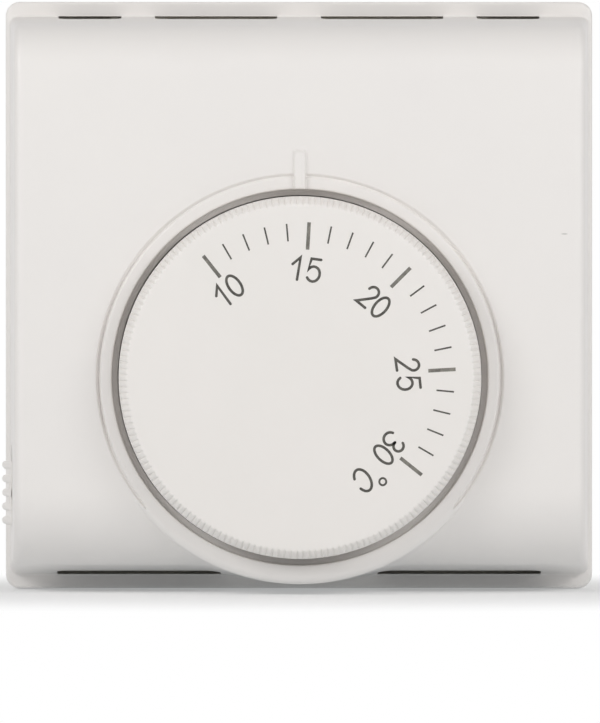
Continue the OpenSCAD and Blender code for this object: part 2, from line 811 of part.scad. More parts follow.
// Two corrugated discs welded at the rim, with a rivet stud behind and the sealed
// filling tube at the edge
module capsule() {
    m = capsule_t / 2;
    w = capsule_r - 1.6;
    n = 3;
    step = (w - 6) / (2 * n);
    front = [for (i = [0 : 2 * n]) [w - i * step, (i % 2 == 0 ? 0.55 : 1.25) * (m - 0.9) / 1.25]];
    color([0.82, 0.66, 0.42])
    translate([0, dial_y, capsule_z])
    difference() {
        union() {
            rotate_extrude()
                polygon(concat(
                    [[0, 0], [4.6, 0], [5.2, 0.4]],
                    [for (i = [2 * n : -1 : 0]) [front[i][0], m - 0.3 - front[i][1]]],
                    [[capsule_r - 1.2, m - 0.3], [capsule_r, m - 0.3], [capsule_r, m + 0.3], [capsule_r - 1.2, m + 0.3]],
                    [for (i = [0 : 2 * n]) [front[i][0], m + 0.3 + front[i][1]]],
                    [[5.2, capsule_t - 0.4], [4.6, capsule_t], [0, capsule_t]]));
            disc(2.4, -chassis_t, nil);
            disc(3.4, -chassis_t - 0.7, -chassis_t);
            rotate(-28)
                translate([0, capsule_r - 1.4, m])
                    rotate([-90, 0, 0])
                        cylinder(r = 0.8, h = 3);
        }
        disc(2.2, capsule_t - 1.6, capsule_t + 1);
    }
}

module capsule_button() {
    color([0.85, 0.84, 0.8])
    translate([0, dial_y, 0]) {
        disc(2.2 - run_gap, button_z - 1.2, button_z + 0.35);
        disc(3, button_z + 0.3, button_z + 0.55);
        translate([0, 0, button_z + 0.55 - nil])
            cylinder(r1 = 3, r2 = 1.4, h = 0.16);
    }
}

module chassis_plate() {
    x = chassis_screw[0];
    y = chassis_screw[1];
    color([0.72, 0.73, 0.74])
    difference() {
        union() {
            translate([0, 0, chassis_z])
                linear_extrude(chassis_t) {
                    translate([0, dial_y])
                        circle(r = capsule_r - 1);
                    translate([-x, y - 3])
                        square([2 * x, 6]);
                    for (sx = [-1, 1])
                        translate([sx * x, y])
                            circle(r = 3);
                    translate([-9.5, y])
                        square([19, snap_y - chassis_t - y]);
                }
            // ears for the pivot pin
            for (sx = [-1, 1])
                translate([sx * 13, pivot_y, 0])
                    rotate([90, 0, 90])
                        linear_extrude(0.8, center = true) {
                            translate([-2.4, chassis_z])
                                square([4.8, pivot_z - chassis_z]);
                            translate([0, pivot_z])
                                circle(r = 2.4);
                        }
            // upright tab that carries the snap switch
            block(snap_x - snap_l / 2 + 0.8, snap_x + snap_l / 2 - 0.8, snap_y - chassis_t, snap_y,
                snap_z, snap_z + snap_h - 0.8);
            block(-6, 8.5, snap_y - chassis_t, snap_y, chassis_z, snap_z + 1);
        }
        translate([0, dial_y, 0])
            disc(2.45, 0, capsule_z + 1);
        for (sx = [-1, 1])
            translate([sx * x, y, 0])
                disc(1.6, 0, capsule_z + 1);
        translate([0, pivot_y, pivot_z])
            rotate([0, 90, 0])
                cylinder(r = pin_r + 0.02, h = 40, center = true);
        for (s = [-1, 1])
            translate([snap_x + s * 4.75, snap_y, snap_z + 2.9])
                rotate([90, 0, 0])
                    cylinder(r = 1.15, h = 6, center = true);
    }
}

module chassis_screws() {
    color([0.75, 0.75, 0.73])
    for (sx = [-1, 1])
        translate([sx * chassis_screw[0], chassis_screw[1], 0])
            pan_screw(2.5, 1.8, 1.2, chassis_z + chassis_t, 0.95);
}

module snap_switch() {
    x0 = snap_x - snap_l / 2;
    color([0.12, 0.12, 0.13])
    difference() {
        union() {
            block(x0, x0 + snap_l, snap_y, snap_y + snap_w, snap_z, snap_z + snap_h);
            // collar round the plunger
            translate([0, plunger_y, 0])
                disc(1.8, snap_z + snap_h - nil, snap_z + snap_h + 0.25);
        }
        translate([0, plunger_y, 0])
            disc(plunger_r + run_gap, snap_z + snap_h - 3.2, snap_z + snap_h + 1);
        for (s = [-1, 1])
            translate([snap_x + s * 4.75, snap_y + snap_w / 2, snap_z + 2.9])
                rotate([90, 0, 0])
                    cylinder(r = 1.15, h = snap_w + 2, center = true);
        // parting line between case and lid
        block(x0 - 1, x0 + 0.25, snap_y + snap_w - 1.7, snap_y + snap_w - 1.45, snap_z - 1, snap_z + snap_h + 1);
        block(x0 + snap_l - 0.25, x0 + snap_l + 1, snap_y + snap_w - 1.7, snap_y + snap_w - 1.45,
            snap_z - 1, snap_z + snap_h + 1);
    }
}

module snap_plunger() {
    color([0.85, 0.2, 0.15])
    translate([0, plunger_y, 0]) {
        disc(plunger_r, snap_z + snap_h - 2, plunger_top - 0.3);
        translate([0, 0, plunger_top - 0.3 - nil])
            cylinder(r1 = plunger_r, r2 = plunger_r - 0.3, h = 0.3 + nil);
    }
}

module snap_blades() {
    color([0.82, 0.7, 0.4])
    for (dx = [-8.6, 1.6, 8.6])
        block(snap_x + dx - 0.25, snap_x + dx + 0.25, plunger_y - 1.4, plunger_y + 1.4, base_t + 1.2, snap_z);
}

module snap_screws() {
    color([0.75, 0.75, 0.73])
    for (s = [-1, 1])
        translate([snap_x + s * 4.75, snap_y + snap_w, snap_z + 2.9])
            rotate([-90, 0, 0])
                pan_screw(1.9, 1.3, 1.1, 0, -snap_w - chassis_t - 1);
}

module terminal_block() {
    hx = block_w / 2;
    top = base_t + block_h;
    color([0.9, 0.89, 0.84])
    difference() {
        union() {
            block(-hx, hx, block_y, block_y + block_d, base_t, top - 1.4);
            block(-hx, hx, block_y + 1.6, block_y + block_d - 1.6, base_t, top);
            for (i = [0 : terminals])
                block(-hx + 0.6 + i * terminal_pitch, -hx + 1.4 + i * terminal_pitch, block_y, block_y + block_d,
                    base_t, top + 0.8);
            for (sx = [-1, 1])
                translate([sx * (hx + 3), block_y + block_d / 2, base_t + 2])
                    linear_extrude(2.6) {
                        circle(r = 2.9);
                        translate([-sx * 3 - 1, 0])
                            square([5, 5.8], center = true);
                    }
        }
        for (i = [0 : terminals - 1])
            translate([(i - (terminals - 1) / 2) * terminal_pitch, block_y + block_d / 2, 0]) {
                disc(2.3, base_t + 8, top + 2);
                block(-2.8, 2.8, -2.8, 2.8, base_t + 1.4, base_t + 8.4);
                // cable side
                translate([0, 0, base_t + 4.8])
                    rotate([-90, 0, 0])
                        cylinder(r = 1.6, h = block_d);
                // side towards the mechanism
                translate([0, -block_d, base_t + 4.8])
                    rotate([-90, 0, 0])
                        cylinder(r = 1.1, h = block_d);
            }
        for (sx = [-1, 1])
            translate([sx * (hx + 3), block_y + block_d / 2, 0])
                disc(1.5, 0, top + 2);
    }
}

module terminal_clamps() {
    color([0.8, 0.65, 0.35])
    for (i = [0 : terminals - 1])
        translate([(i - (terminals - 1) / 2) * terminal_pitch, block_y + block_d / 2, 0])
            difference() {
                block(-2.7, 2.7, -2.7, 2.7, base_t + 1.5, base_t + 8.3);
                translate([0, 0, base_t + 4.8])
                    rotate([90, 0, 0])
                        cylinder(r = 1.5, h = 8, center = true);
                disc(1.5, base_t + 4.8, base_t + 9);
            }
}

module terminal_screws() {
    color([0.78, 0.78, 0.76])
    for (i = [0 : terminals - 1])
        translate([(i - (terminals - 1) / 2) * terminal_pitch, block_y + block_d / 2, 0])
            pan_screw(2.1, 1.6, 1.42, base_t + 8.3, base_t + 5.8);
}

module block_screws() {
    color([0.75, 0.75, 0.73])
    for (sx = [-1, 1])
        translate([sx * (block_w / 2 + 3), block_y + block_d / 2, 0])
            pan_screw(2.4, 1.7, 1.2, base_t + 4.6, 0.95);
}

module slide_case() {
    x0 = -sw_x;
    x1 = -sw_x + sw_w;
    y0 = track_y - sw_l / 2;
    y1 = track_y + sw_l / 2;
    color([0.15, 0.15, 0.16])
    difference() {
        block(x0, x1, y0, y1, sw_z, sw_z + sw_h);
        // track of the carriage, open towards the side wall
        block(x0 - 1, x0 + 4.1, y0 + sw_wall, y1 - sw_wall, slider_z - 2.6, slider_z + 2.6);
        // chamber of the contacts
        block(x0 + 4, x1 - sw_wall, y0 + sw_wall + 0.5, y1 - sw_wall - 0.5, slider_z - 1.8, slider_z + 1.8);
        // slits for the three blades
        for (d = [-slider_travel, 0, slider_travel])
            block(x1 - 2, x1 + 1, track_y + d - 0.27, track_y + d + 0.27, slider_z - 1.22, slider_z + 1.22);
    }
}

module slide_knob() {
    tip = -slider_x - grip_out;
    wall_side = -slider_x - 0.35;
    pitch = grip_l / 4.45;
    color([0.92, 0.91, 0.89])
    union() {
        // ribbed grip
        translate([0, slider_y, slider_z - 2.5])
            linear_extrude(5) {
                translate([tip + 0.7, -grip_l / 2])
                    square([wall_side - tip - 0.7, grip_l]);
                for (i = [-2 : 2])
                    translate([tip, i * pitch]) {
                        translate([0.35, -pitch * 0.27])
                            square([0.6, pitch * 0.54]);
                        translate([0, -pitch * 0.27 + 0.35])
                            square([0.6, pitch * 0.54 - 0.7]);
                        for (s = [-1, 1])
                            translate([0.35, s * (pitch * 0.27 - 0.35)])
                                circle(r = 0.35);
                    }
            }
        // neck through the side wall
        block(wall_side - nil, -sw_x + 0.5, slider_y - 2.5, slider_y + 2.5, slider_z - 1.4, slider_z + 1.4);
        // carriage in the switch
        block(-sw_x + 0.4, -sw_x + 3.7, slider_y - carriage_l / 2, slider_y + carriage_l / 2,
            slider_z - 2.3, slider_z + 2.3);
    }
}

// Copper bridge on the carriage that joins two of the three blades
module slide_bridge() {
    x = -sw_x + 3.7;
    color([0.85, 0.5, 0.3])
    union() {
        block(x, x + 0.4, slider_y - 2.6, slider_y + 2.6, slider_z - 1.2, slider_z + 1.2);
        for (d = [-0.5, 0.5] * slider_travel)
            translate([x + 0.4 - nil, slider_y + d, slider_z])
                rotate([0, 90, 0])
                    cylinder(r1 = 0.7, r2 = 0.3, h = 0.4);
    }
}

module slide_blades() {
    color([0.82, 0.7, 0.4])
    for (d = [-slider_travel, 0, slider_travel])
        block(-sw_x + 4.7, -sw_x + sw_w + 3.2, track_y + d - 0.25, track_y + d + 0.25,
            slider_z - 1.2, slider_z + 1.2);
}

// Small heater that warms the capsule while the load is on
module heater_resistor() {
    color([0.75, 0.65, 0.5])
    translate([-15, snap_y + 2.1, base_t + 4.6])
        rotate([0, 90, 0]) {
            cylinder(r = 1.25, h = 6.4, center = true);
            for (s = [-1, 1])
                translate([0, 0, s * 2.5])
                    cylinder(r = 1.5, h = 1.5, center = true);
        }
}

module heater_leads() {
    y = snap_y + 2.1;
    z = base_t + 4.6;
    t = first_x + terminal_pitch;
    color([0.8, 0.8, 0.78])
    union() {
        wire([[-18.27, y, z], [-19.4, y, z], [-19.4, y, z + 3], [t - 2.2, y + 3, z + 3],
            [t, block_y - 1, z + 0.2], [t, block_y + 1.55, z + 0.2]], 0.3);
        wire([[-11.73, y, z], [-9.6, y, z], [-9.6, y + 0.6, base_t + 2], [snap_x - 10.4, plunger_y, base_t + 2],
            [snap_x - 8.87, plunger_y, base_t + 2]], 0.3);
    }
}

module wire_live() {
    x0 = -sw_x + sw_w + 3.22;
    y0 = track_y + slider_travel;
    color([0.5, 0.3, 0.2])
    wire([[x0, y0, slider_z], [x0 + 2.4, y0, slider_z], [-21.6, y0 + 0.3, slider_z - 5.5],
        [-20.6, dial_y - 8, base_t + 4.4], [-20.6, dial_y, base_t + 3.2], [-20.8, dial_y + 16, base_t + 3.2],
        [-22.2, capsule_top + 6, base_t + 3.2], [-21.4, block_y - 2.6, base_t + 3.4],
        [first_x - 0.6, block_y - 1.6, base_t + 4.2], [first_x, block_y - 0.4, base_t + 4.8],
        [first_x, block_y + 1.55, base_t + 4.8]], 0.7);
}

module wire_link() {
    x0 = -sw_x + sw_w + 3.22;
    x1 = snap_x + 1.6 - 0.27;
    color([0.15, 0.15, 0.15])
    wire([[x0, track_y, slider_z], [x0 + 2.4, track_y, slider_z], [-22, track_y + 0.8, slider_z - 5],
        [-20.6, dial_y - 11, base_t + 2], [-20.6, dial_y, base_t + 0.9], [-20.4, capsule_top - 1.5, base_t + 0.9],
        [-14, snap_y + 0.8, base_t + 1.4], [-4.2, snap_y + 0.8, base_t + 2.2], [x1 - 2.6, plunger_y, base_t + 2.2],
        [x1, plunger_y, base_t + 2.2]], 0.7);
}

module wire_load() {
    x0 = snap_x + 8.6 + 0.27;
    color([0.75, 0.15, 0.12])
    wire([[x0, plunger_y, base_t + 2.4], [x0 + 1.8, plunger_y, base_t + 2.4],
        [-first_x, plunger_y + 2.6, base_t + 3.6], [-first_x, block_y - 0.6, base_t + 4.8],
        [-first_x, block_y + 1.55, base_t + 4.8]], 0.7);
}

upright() base_plate();
upright() cover();
upright() cover_screw();
upright() dial();
upright() spindle();
upright() spindle_clip();
upright() wave_washer();
upright() spindle_bush();
upright() limit_pins();
upright() bridge();
upright() bridge_screws();
upright() guide_pins();
upright() adjuster_nut();
upright() range_spring();
upright() lever();
upright() lever_pin();
upright() pin_clip();
upright() calibration_screw();
upright() calibration_nut();
upright() capsule();
upright() capsule_button();
upright() chassis_plate();
upright() chassis_screws();
upright() snap_switch();
upright() snap_plunger();
upright() snap_blades();
upright() snap_screws();
upright() terminal_block();
upright() terminal_clamps();
upright() terminal_screws();
upright() block_screws();
upright() slide_case();
upright() slide_knob();
upright() slide_bridge();
upright() slide_blades();
upright() heater_resistor();
upright() heater_leads();
upright() wire_live();
upright() wire_link();
upright() wire_load();
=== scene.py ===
import json
import math

import bmesh
import bpy
import numpy as np
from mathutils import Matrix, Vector

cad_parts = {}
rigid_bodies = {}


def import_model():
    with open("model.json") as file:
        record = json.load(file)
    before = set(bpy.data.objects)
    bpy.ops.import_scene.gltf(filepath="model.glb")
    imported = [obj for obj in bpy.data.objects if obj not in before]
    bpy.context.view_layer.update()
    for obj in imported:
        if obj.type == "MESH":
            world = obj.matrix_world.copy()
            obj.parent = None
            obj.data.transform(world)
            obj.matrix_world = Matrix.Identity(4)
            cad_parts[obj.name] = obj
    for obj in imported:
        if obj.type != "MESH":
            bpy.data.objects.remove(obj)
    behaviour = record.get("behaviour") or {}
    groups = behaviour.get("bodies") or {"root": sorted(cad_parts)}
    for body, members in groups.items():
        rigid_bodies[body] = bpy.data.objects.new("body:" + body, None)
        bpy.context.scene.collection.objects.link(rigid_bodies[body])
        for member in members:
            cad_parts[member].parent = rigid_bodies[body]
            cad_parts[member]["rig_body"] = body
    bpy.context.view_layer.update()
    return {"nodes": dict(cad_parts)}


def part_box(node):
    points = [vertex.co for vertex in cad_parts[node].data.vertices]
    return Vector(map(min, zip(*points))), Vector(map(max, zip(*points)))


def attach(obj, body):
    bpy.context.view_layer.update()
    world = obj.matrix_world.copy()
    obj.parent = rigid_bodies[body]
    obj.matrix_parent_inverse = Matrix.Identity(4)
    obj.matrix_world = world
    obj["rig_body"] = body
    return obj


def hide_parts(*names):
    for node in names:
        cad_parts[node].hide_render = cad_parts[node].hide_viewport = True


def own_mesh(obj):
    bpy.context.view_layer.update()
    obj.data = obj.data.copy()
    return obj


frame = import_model()
nodes = frame["nodes"]
scene = bpy.context.scene

mm = 0.001


def linear(hexValue):
    # an sRGB hex value as the linear colour that the shaders take
    out = []
    for i in (1, 3, 5):
        c = int(hexValue[i:i + 2], 16) / 255
        out.append(c / 12.92 if c <= 0.04045 else ((c + 0.055) / 1.055) ** 2.4)
    return (*out, 1.0)


def toWorld(points):
    # drawing coordinates (x, y, height above the wall) in mm to the part's frame in metres
    p = np.asarray(points, dtype=float)
    return np.stack([p[..., 0], -p[..., 2], p[..., 1]], axis=-1) * mm


def newObject(name, verts, faces, smoothAngle=35):
    # verts come in drawing coordinates
    mesh = bpy.data.meshes.new(name)
    mesh.from_pydata([tuple(v) for v in toWorld(verts)], [], faces)
    mesh.validate()
    obj = bpy.data.objects.new(name, mesh)
    scene.collection.objects.link(obj)
    bm = bmesh.new()
    bm.from_mesh(mesh)
    bmesh.ops.recalc_face_normals(bm, faces=bm.faces)
    bm.to_mesh(mesh)
    bm.free()
    shadeByAngle(mesh, smoothAngle)
    return obj


def shadeByAngle(mesh, degrees):
    mesh.shade_smooth()
    mesh.set_sharp_from_angle(angle=math.radians(degrees))


def roundEdges(mesh, width, sharp=30, held=False):
    # rounds every edge sharper than the angle, on the mesh in place
    bm = bmesh.new()
    bm.from_mesh(mesh)
    bmesh.ops.remove_doubles(bm, verts=bm.verts, dist=1e-6)
    bmesh.ops.dissolve_limit(bm, angle_limit=math.radians(0.6), verts=bm.verts, edges=bm.edges)
    edges = [e for e in bm.edges if len(e.link_faces) == 2 and e.calc_face_angle(0) > math.radians(sharp)]
    bmesh.ops.bevel(bm, geom=edges, offset=width * mm, offset_type="OFFSET", segments=2, profile=0.5,
                    affect="EDGES", clamp_overlap=held)
    bm.to_mesh(mesh)
    bm.free()


def applyBoolean(obj, cutter, mode="DIFFERENCE"):
    mod = obj.modifiers.new("cut", "BOOLEAN")
    mod.operation = mode
    mod.solver = "EXACT"
    mod.object = cutter
    with bpy.context.temp_override(object=obj, active_object=obj, selected_objects=[obj]):
        bpy.ops.object.modifier_apply(modifier=mod.name)
    bpy.data.objects.remove(cutter)


def quads(rings, count, closed=False):
    # faces between rings of count points each, the last ring joined to the first if closed
    faces = []
    for j in range(rings if closed else rings - 1):
        a, b = j * count, (j + 1) % rings * count
        faces += [(a + i, a + (i + 1) % count, b + (i + 1) % count, b + i) for i in range(count)]
    return faces


def ringAt(angles, centreY, radius, height):
    # points round the dial's axis; radius and height are one number each, or one for each angle
    radius, height = np.broadcast_to(radius, angles.shape), np.broadcast_to(height, angles.shape)
    return np.stack([radius * np.cos(angles), radius * np.sin(angles) + centreY, height], axis=1)


def loft(outlines, heights):
    # closed body through flat outlines of equal length, each at its own height
    n, m = len(outlines[0]), len(outlines)
    verts = [(x, y, z) for outline, z in zip(outlines, heights) for x, y in outline]
    return verts, [tuple(range(n - 1, -1, -1)), tuple(range(n * (m - 1), n * m))] + quads(m, n)


def prism(outline, low, high):
    return loft([outline, outline], [low, high])


def disc(x, y, r, low, high, steps=48):
    turns = [2 * math.pi * k / steps for k in range(steps)]
    return prism([(x + r * math.cos(a), y + r * math.sin(a)) for a in turns], low, high)


def slab(x0, x1, y0, y1, low, high):
    return prism([(x0, y0), (x1, y0), (x1, y1), (x0, y1)], low, high)


def bar(centreY, start, end, half, degrees):
    # outline of a bar that points away from the dial's axis
    c, s = math.cos(math.radians(degrees)), math.sin(math.radians(degrees))
    corners = ((start, -half), (end, -half), (end, half), (start, half))
    return [(c * u - s * v, s * u + c * v + centreY) for u, v in corners]


def gather(bodies):
    # one vertex and face list out of several
    verts, faces = [], []
    for v, f in bodies:
        base = len(verts)
        verts += [tuple(p) for p in v]
        faces += [tuple(i + base for i in q) for q in f]
    return verts, faces


def addNode(tree, kind, settings=None, links=None, **values):
    # one node: settings are its properties, values the inputs that are the same all over,
    # links {input: a node, for its first output, or one of its outputs}
    node = tree.nodes.new("ShaderNode" + kind)
    for key, value in (settings or {}).items():
        setattr(node, key, value)
    for key, value in values.items():
        node.inputs[key.replace("_", " ")].default_value = value
    for key, source in (links or {}).items():
        if isinstance(source, bpy.types.Node):
            source = next(socket for socket in source.outputs if socket.enabled)
        tree.links.new(source, node.inputs[key])
    return node


print("frame loaded:", len(nodes), "nodes")

# mm; heights are above the wall, and the foot is where the hood meets the rim
cover = {
    "width": 83.0, "height": 83.0, "rimFront": 8.0, "rimCorner": 2.0, "rimEdge": 0.45, "rimFillet": 0.35,
    "footX": 40.85, "footY": 39.35, "faceTop": 30.0, "faceFall": 0.9, "endDraft": 1.7, "sideDraft": 1.2,
    "topRadius": 6.0, "bottomRadius": 9.2, "sideRadius": 1.05, "leastRadius": 0.3, "wall": 1.8, "innerCorner": 0.6,
    "skirt": 1.3, "skirtCorner": 1.3, "skirtBack": 0.6, "skirtEdge": 0.3, "skirtDepth": 6.4,
    "dialY": -11.4, "wellRadius": 26.1, "wellEdge": 0.25, "wellFloor": 24.5, "wellHole": 5.3, "wellThick": 1.5,
    "ledgeRadius": 25.3, "ledgeFront": 27.3, "ledgeEdge": 0.2, "ledgeBevel": 0.1,
    "collarFlat": 27.6, "collarEdge": 1.1, "collarFront": 29.4, "collarFoot": 29.3,
    "collarStep": 0.3, "collarStepWidth": 0.5, "collarFillet": 1.3, "filletFrom": 1.6, "filletOver": 4.0,
    "creaseRadius": 27.95, "creaseWidth": 0.22, "creaseDepth": 0.36, "creaseDeeper": 0.26, "creaseFade": (0.05, 0.4),
    "ribHalf": 0.8, "ribLength": 5.3, "ribFront": 30.3, "ribEdge": (0.25, 0.3), "ribFillet": 0.22,
    # radial lines of the mesh: even ones, then degrees and number at a corner and at the rib, and least degrees apart
    "lines": 300, "cornerLines": (4, 26), "ribLines": (2.6, 34), "closestLines": 0.045,
    # bands of rows from the well to the rim: samples, rows, and how much closer the rows lie where the skin bends
    "bands": ((320, 42, 3.0), (160, 34, 3.0), (700, 70, 2.0), (80, 14, 1.5)), "bendLimit": 0.5, "evenShare": 0.25,
    "collarBand": 1.9, "footBand": (3.2, 0.35), "rimStop": 0.002, "innerBand": (400, 22), "floorRow": 14.0,
}


def roundMax(a, b, r):
    # meets two distance fields with a round edge of radius r
    return np.minimum(-r, np.maximum(a, b)) + np.hypot(np.maximum(a + r, 0), np.maximum(b + r, 0))


def roundMin(a, b, r):
    # joins two distance fields with a fillet of radius r
    return np.maximum(r, np.minimum(a, b)) - np.hypot(np.maximum(r - a, 0), np.maximum(r - b, 0))


def smoothStep(t):
    t = np.clip(t, 0, 1)
    return t * t * (3 - 2 * t)


def roundedRectangle(x, y, halfX, halfY, corner):
    # distance to its outline, below 0 inside
    qx, qy = np.abs(x) - halfX + corner, np.abs(y) - halfY + corner
    return np.hypot(np.maximum(qx, 0), np.maximum(qy, 0)) + np.minimum(np.maximum(qx, qy), 0) - corner


def lean(c, draft, radius):
    # how far a drafted wall leans in for each mm of height, up to the curve at its front
    return c[draft] / (c["faceTop"] - c[radius] - c["rimFront"])


def faceFront(c, y):
    # height of the sloping face without its curves, and its slope
    slope = c["faceFall"] / (2 * (c["footY"] - c["endDraft"]) - c["topRadius"] - c["bottomRadius"])
    return c["faceTop"] - slope * (c["footY"] - c["endDraft"] - c["topRadius"] - y), slope


def coverField(c, x, y, z, inset=0.0):
    # below 0 inside the moulding's outer skin, or with an inset inside the plain skin that lies so far within it
    front, slope = faceFront(c, y)
    r = np.hypot(x, y - c["dialY"])
    if not inset:
        # above the dial the collar lies a little deeper than the face
        step = np.minimum(c["collarFront"] - front, 0) * c["collarStep"]
        front = front + step * (1 - smoothStep((r - c["collarFlat"]) / c["collarStepWidth"]))
    face = (z - front) / math.hypot(1, slope) + inset
    k = lean(c, "sideDraft", "sideRadius")
    side = ((np.abs(x) - c["footX"]) + k * (z - c["rimFront"])) / math.hypot(1, k) + inset
    ends = []
    for sign, radius in ((1, "topRadius"), (-1, "bottomRadius")):
        k = lean(c, "endDraft", radius)
        wall = ((sign * y - c["footY"]) + k * (z - c["rimFront"])) / math.hypot(1, k) + inset
        ends.append(roundMax(wall, face, c[radius] - inset))
    hood = roundMax(side, np.maximum(*ends), max(c["sideRadius"] - inset, c["leastRadius"]))
    collar = c["collarFlat"] + c["collarEdge"]
    k = (c["collarFoot"] - collar) / (c["collarFront"] - c["rimFront"])
    flank = ((r - collar) - k * (c["collarFront"] - z)) / math.hypot(1, k) + inset
    cone = roundMax(flank, z - c["collarFront"] + inset, max(c["collarEdge"] - inset, c["leastRadius"]))
    joined = np.minimum(hood, cone)
    if inset:
        return joined
    # low down the collar's skirt flows into the hood with a soft fillet
    fillet = joined - roundMin(hood, cone, c["collarFillet"])
    out = joined - fillet * smoothStep((c["collarFront"] - c["filletFrom"] - z) / c["filletOver"])
    # fine crease between the collar and the face, deepest beside the dial, gone where the hood falls away
    start, over = c["creaseFade"]
    depth = c["creaseDepth"] + c["creaseDeeper"] * (x / np.maximum(r, 1)) ** 4
    crease = np.exp(-((r - c["creaseRadius"]) / c["creaseWidth"]) ** 2)
    out = out + depth * crease * (1 - smoothStep((hood - start) / over))
    # the pointer rib, only above the dial
    tipEdge, frontEdge = c["ribEdge"]
    dy = y - (c["dialY"] + c["wellRadius"] + c["ribLength"])
    rib = roundMax(roundMax(np.abs(x) - c["ribHalf"], dy, tipEdge), z - c["ribFront"], frontEdge)
    out = roundMin(out, np.where(y > c["dialY"], rib, 9.0), c["ribFillet"])
    # the rim
    plate = roundedRectangle(x, y, c["width"] / 2, c["height"] / 2, c["rimCorner"])
    return roundMin(out, roundMax(plate, z - c["rimFront"], c["rimEdge"]), c["rimFillet"])


def halved(shape, low, high, rounds, isInside):
    # for each point, the value between low and high where the test turns false, found by halving
    low, high = np.full(shape, low), np.full(shape, high)
    for _ in range(rounds):
        mid = (low + high) / 2
        inside = isInside(mid)
        low, high = np.where(inside, mid, low), np.where(inside, high, mid)
    return (low + high) / 2


def frontOf(c, x, y, inset=0.0):
    # height of the skin in front of a point
    return halved(x.shape, 0.0, 40.0, 26, lambda z: coverField(c, x, y, z, inset) < 0)


def outlineAt(c, angle, halfX, halfY, corner):
    # distance from the dial's axis to a rounded rectangle in each direction
    x, y = np.cos(angle), np.sin(angle)
    return halved(angle.shape, 5.0, 90.0, 40,
                  lambda r: roundedRectangle(r * x, r * y + c["dialY"], halfX, halfY, corner) < 0)


def coverAngles(c):
    # directions of the radial lines: even ones, and more across the corners and the rib
    found = list(np.linspace(0, 2 * math.pi, c["lines"], endpoint=False))
    across, count = c["cornerLines"]
    for sx in (-1, 1):
        for sy in (-1, 1):
            corner = math.atan2(sy * c["footY"] - c["dialY"], sx * c["footX"])
            found += list(corner + np.radians(np.linspace(-across, across, count)))
    across, count = c["ribLines"]
    found += list(math.pi / 2 + np.radians(np.linspace(-across, across, count)))
    angles = np.sort(np.mod(found, 2 * math.pi))
    return angles[np.concatenate([[True], np.diff(angles) > math.radians(c["closestLines"])])]


def evened(values):
    # each line shares its spacing with its neighbours, so that rows run smoothly
    for _ in range(3):
        values = (np.roll(values, 1, axis=0) + 2 * values + np.roll(values, -1, axis=0)) / 4
    return values


def spread(path, count, weight):
    # picks count points along each line's path, closer where its weight is high
    total = np.concatenate([np.zeros((len(path), 1)), np.cumsum(weight, axis=1)], axis=1)
    total /= total[:, -1:]
    want = np.linspace(0, 1, count)
    return np.stack([np.interp(want, total[i], path[i]) for i in range(len(path))])


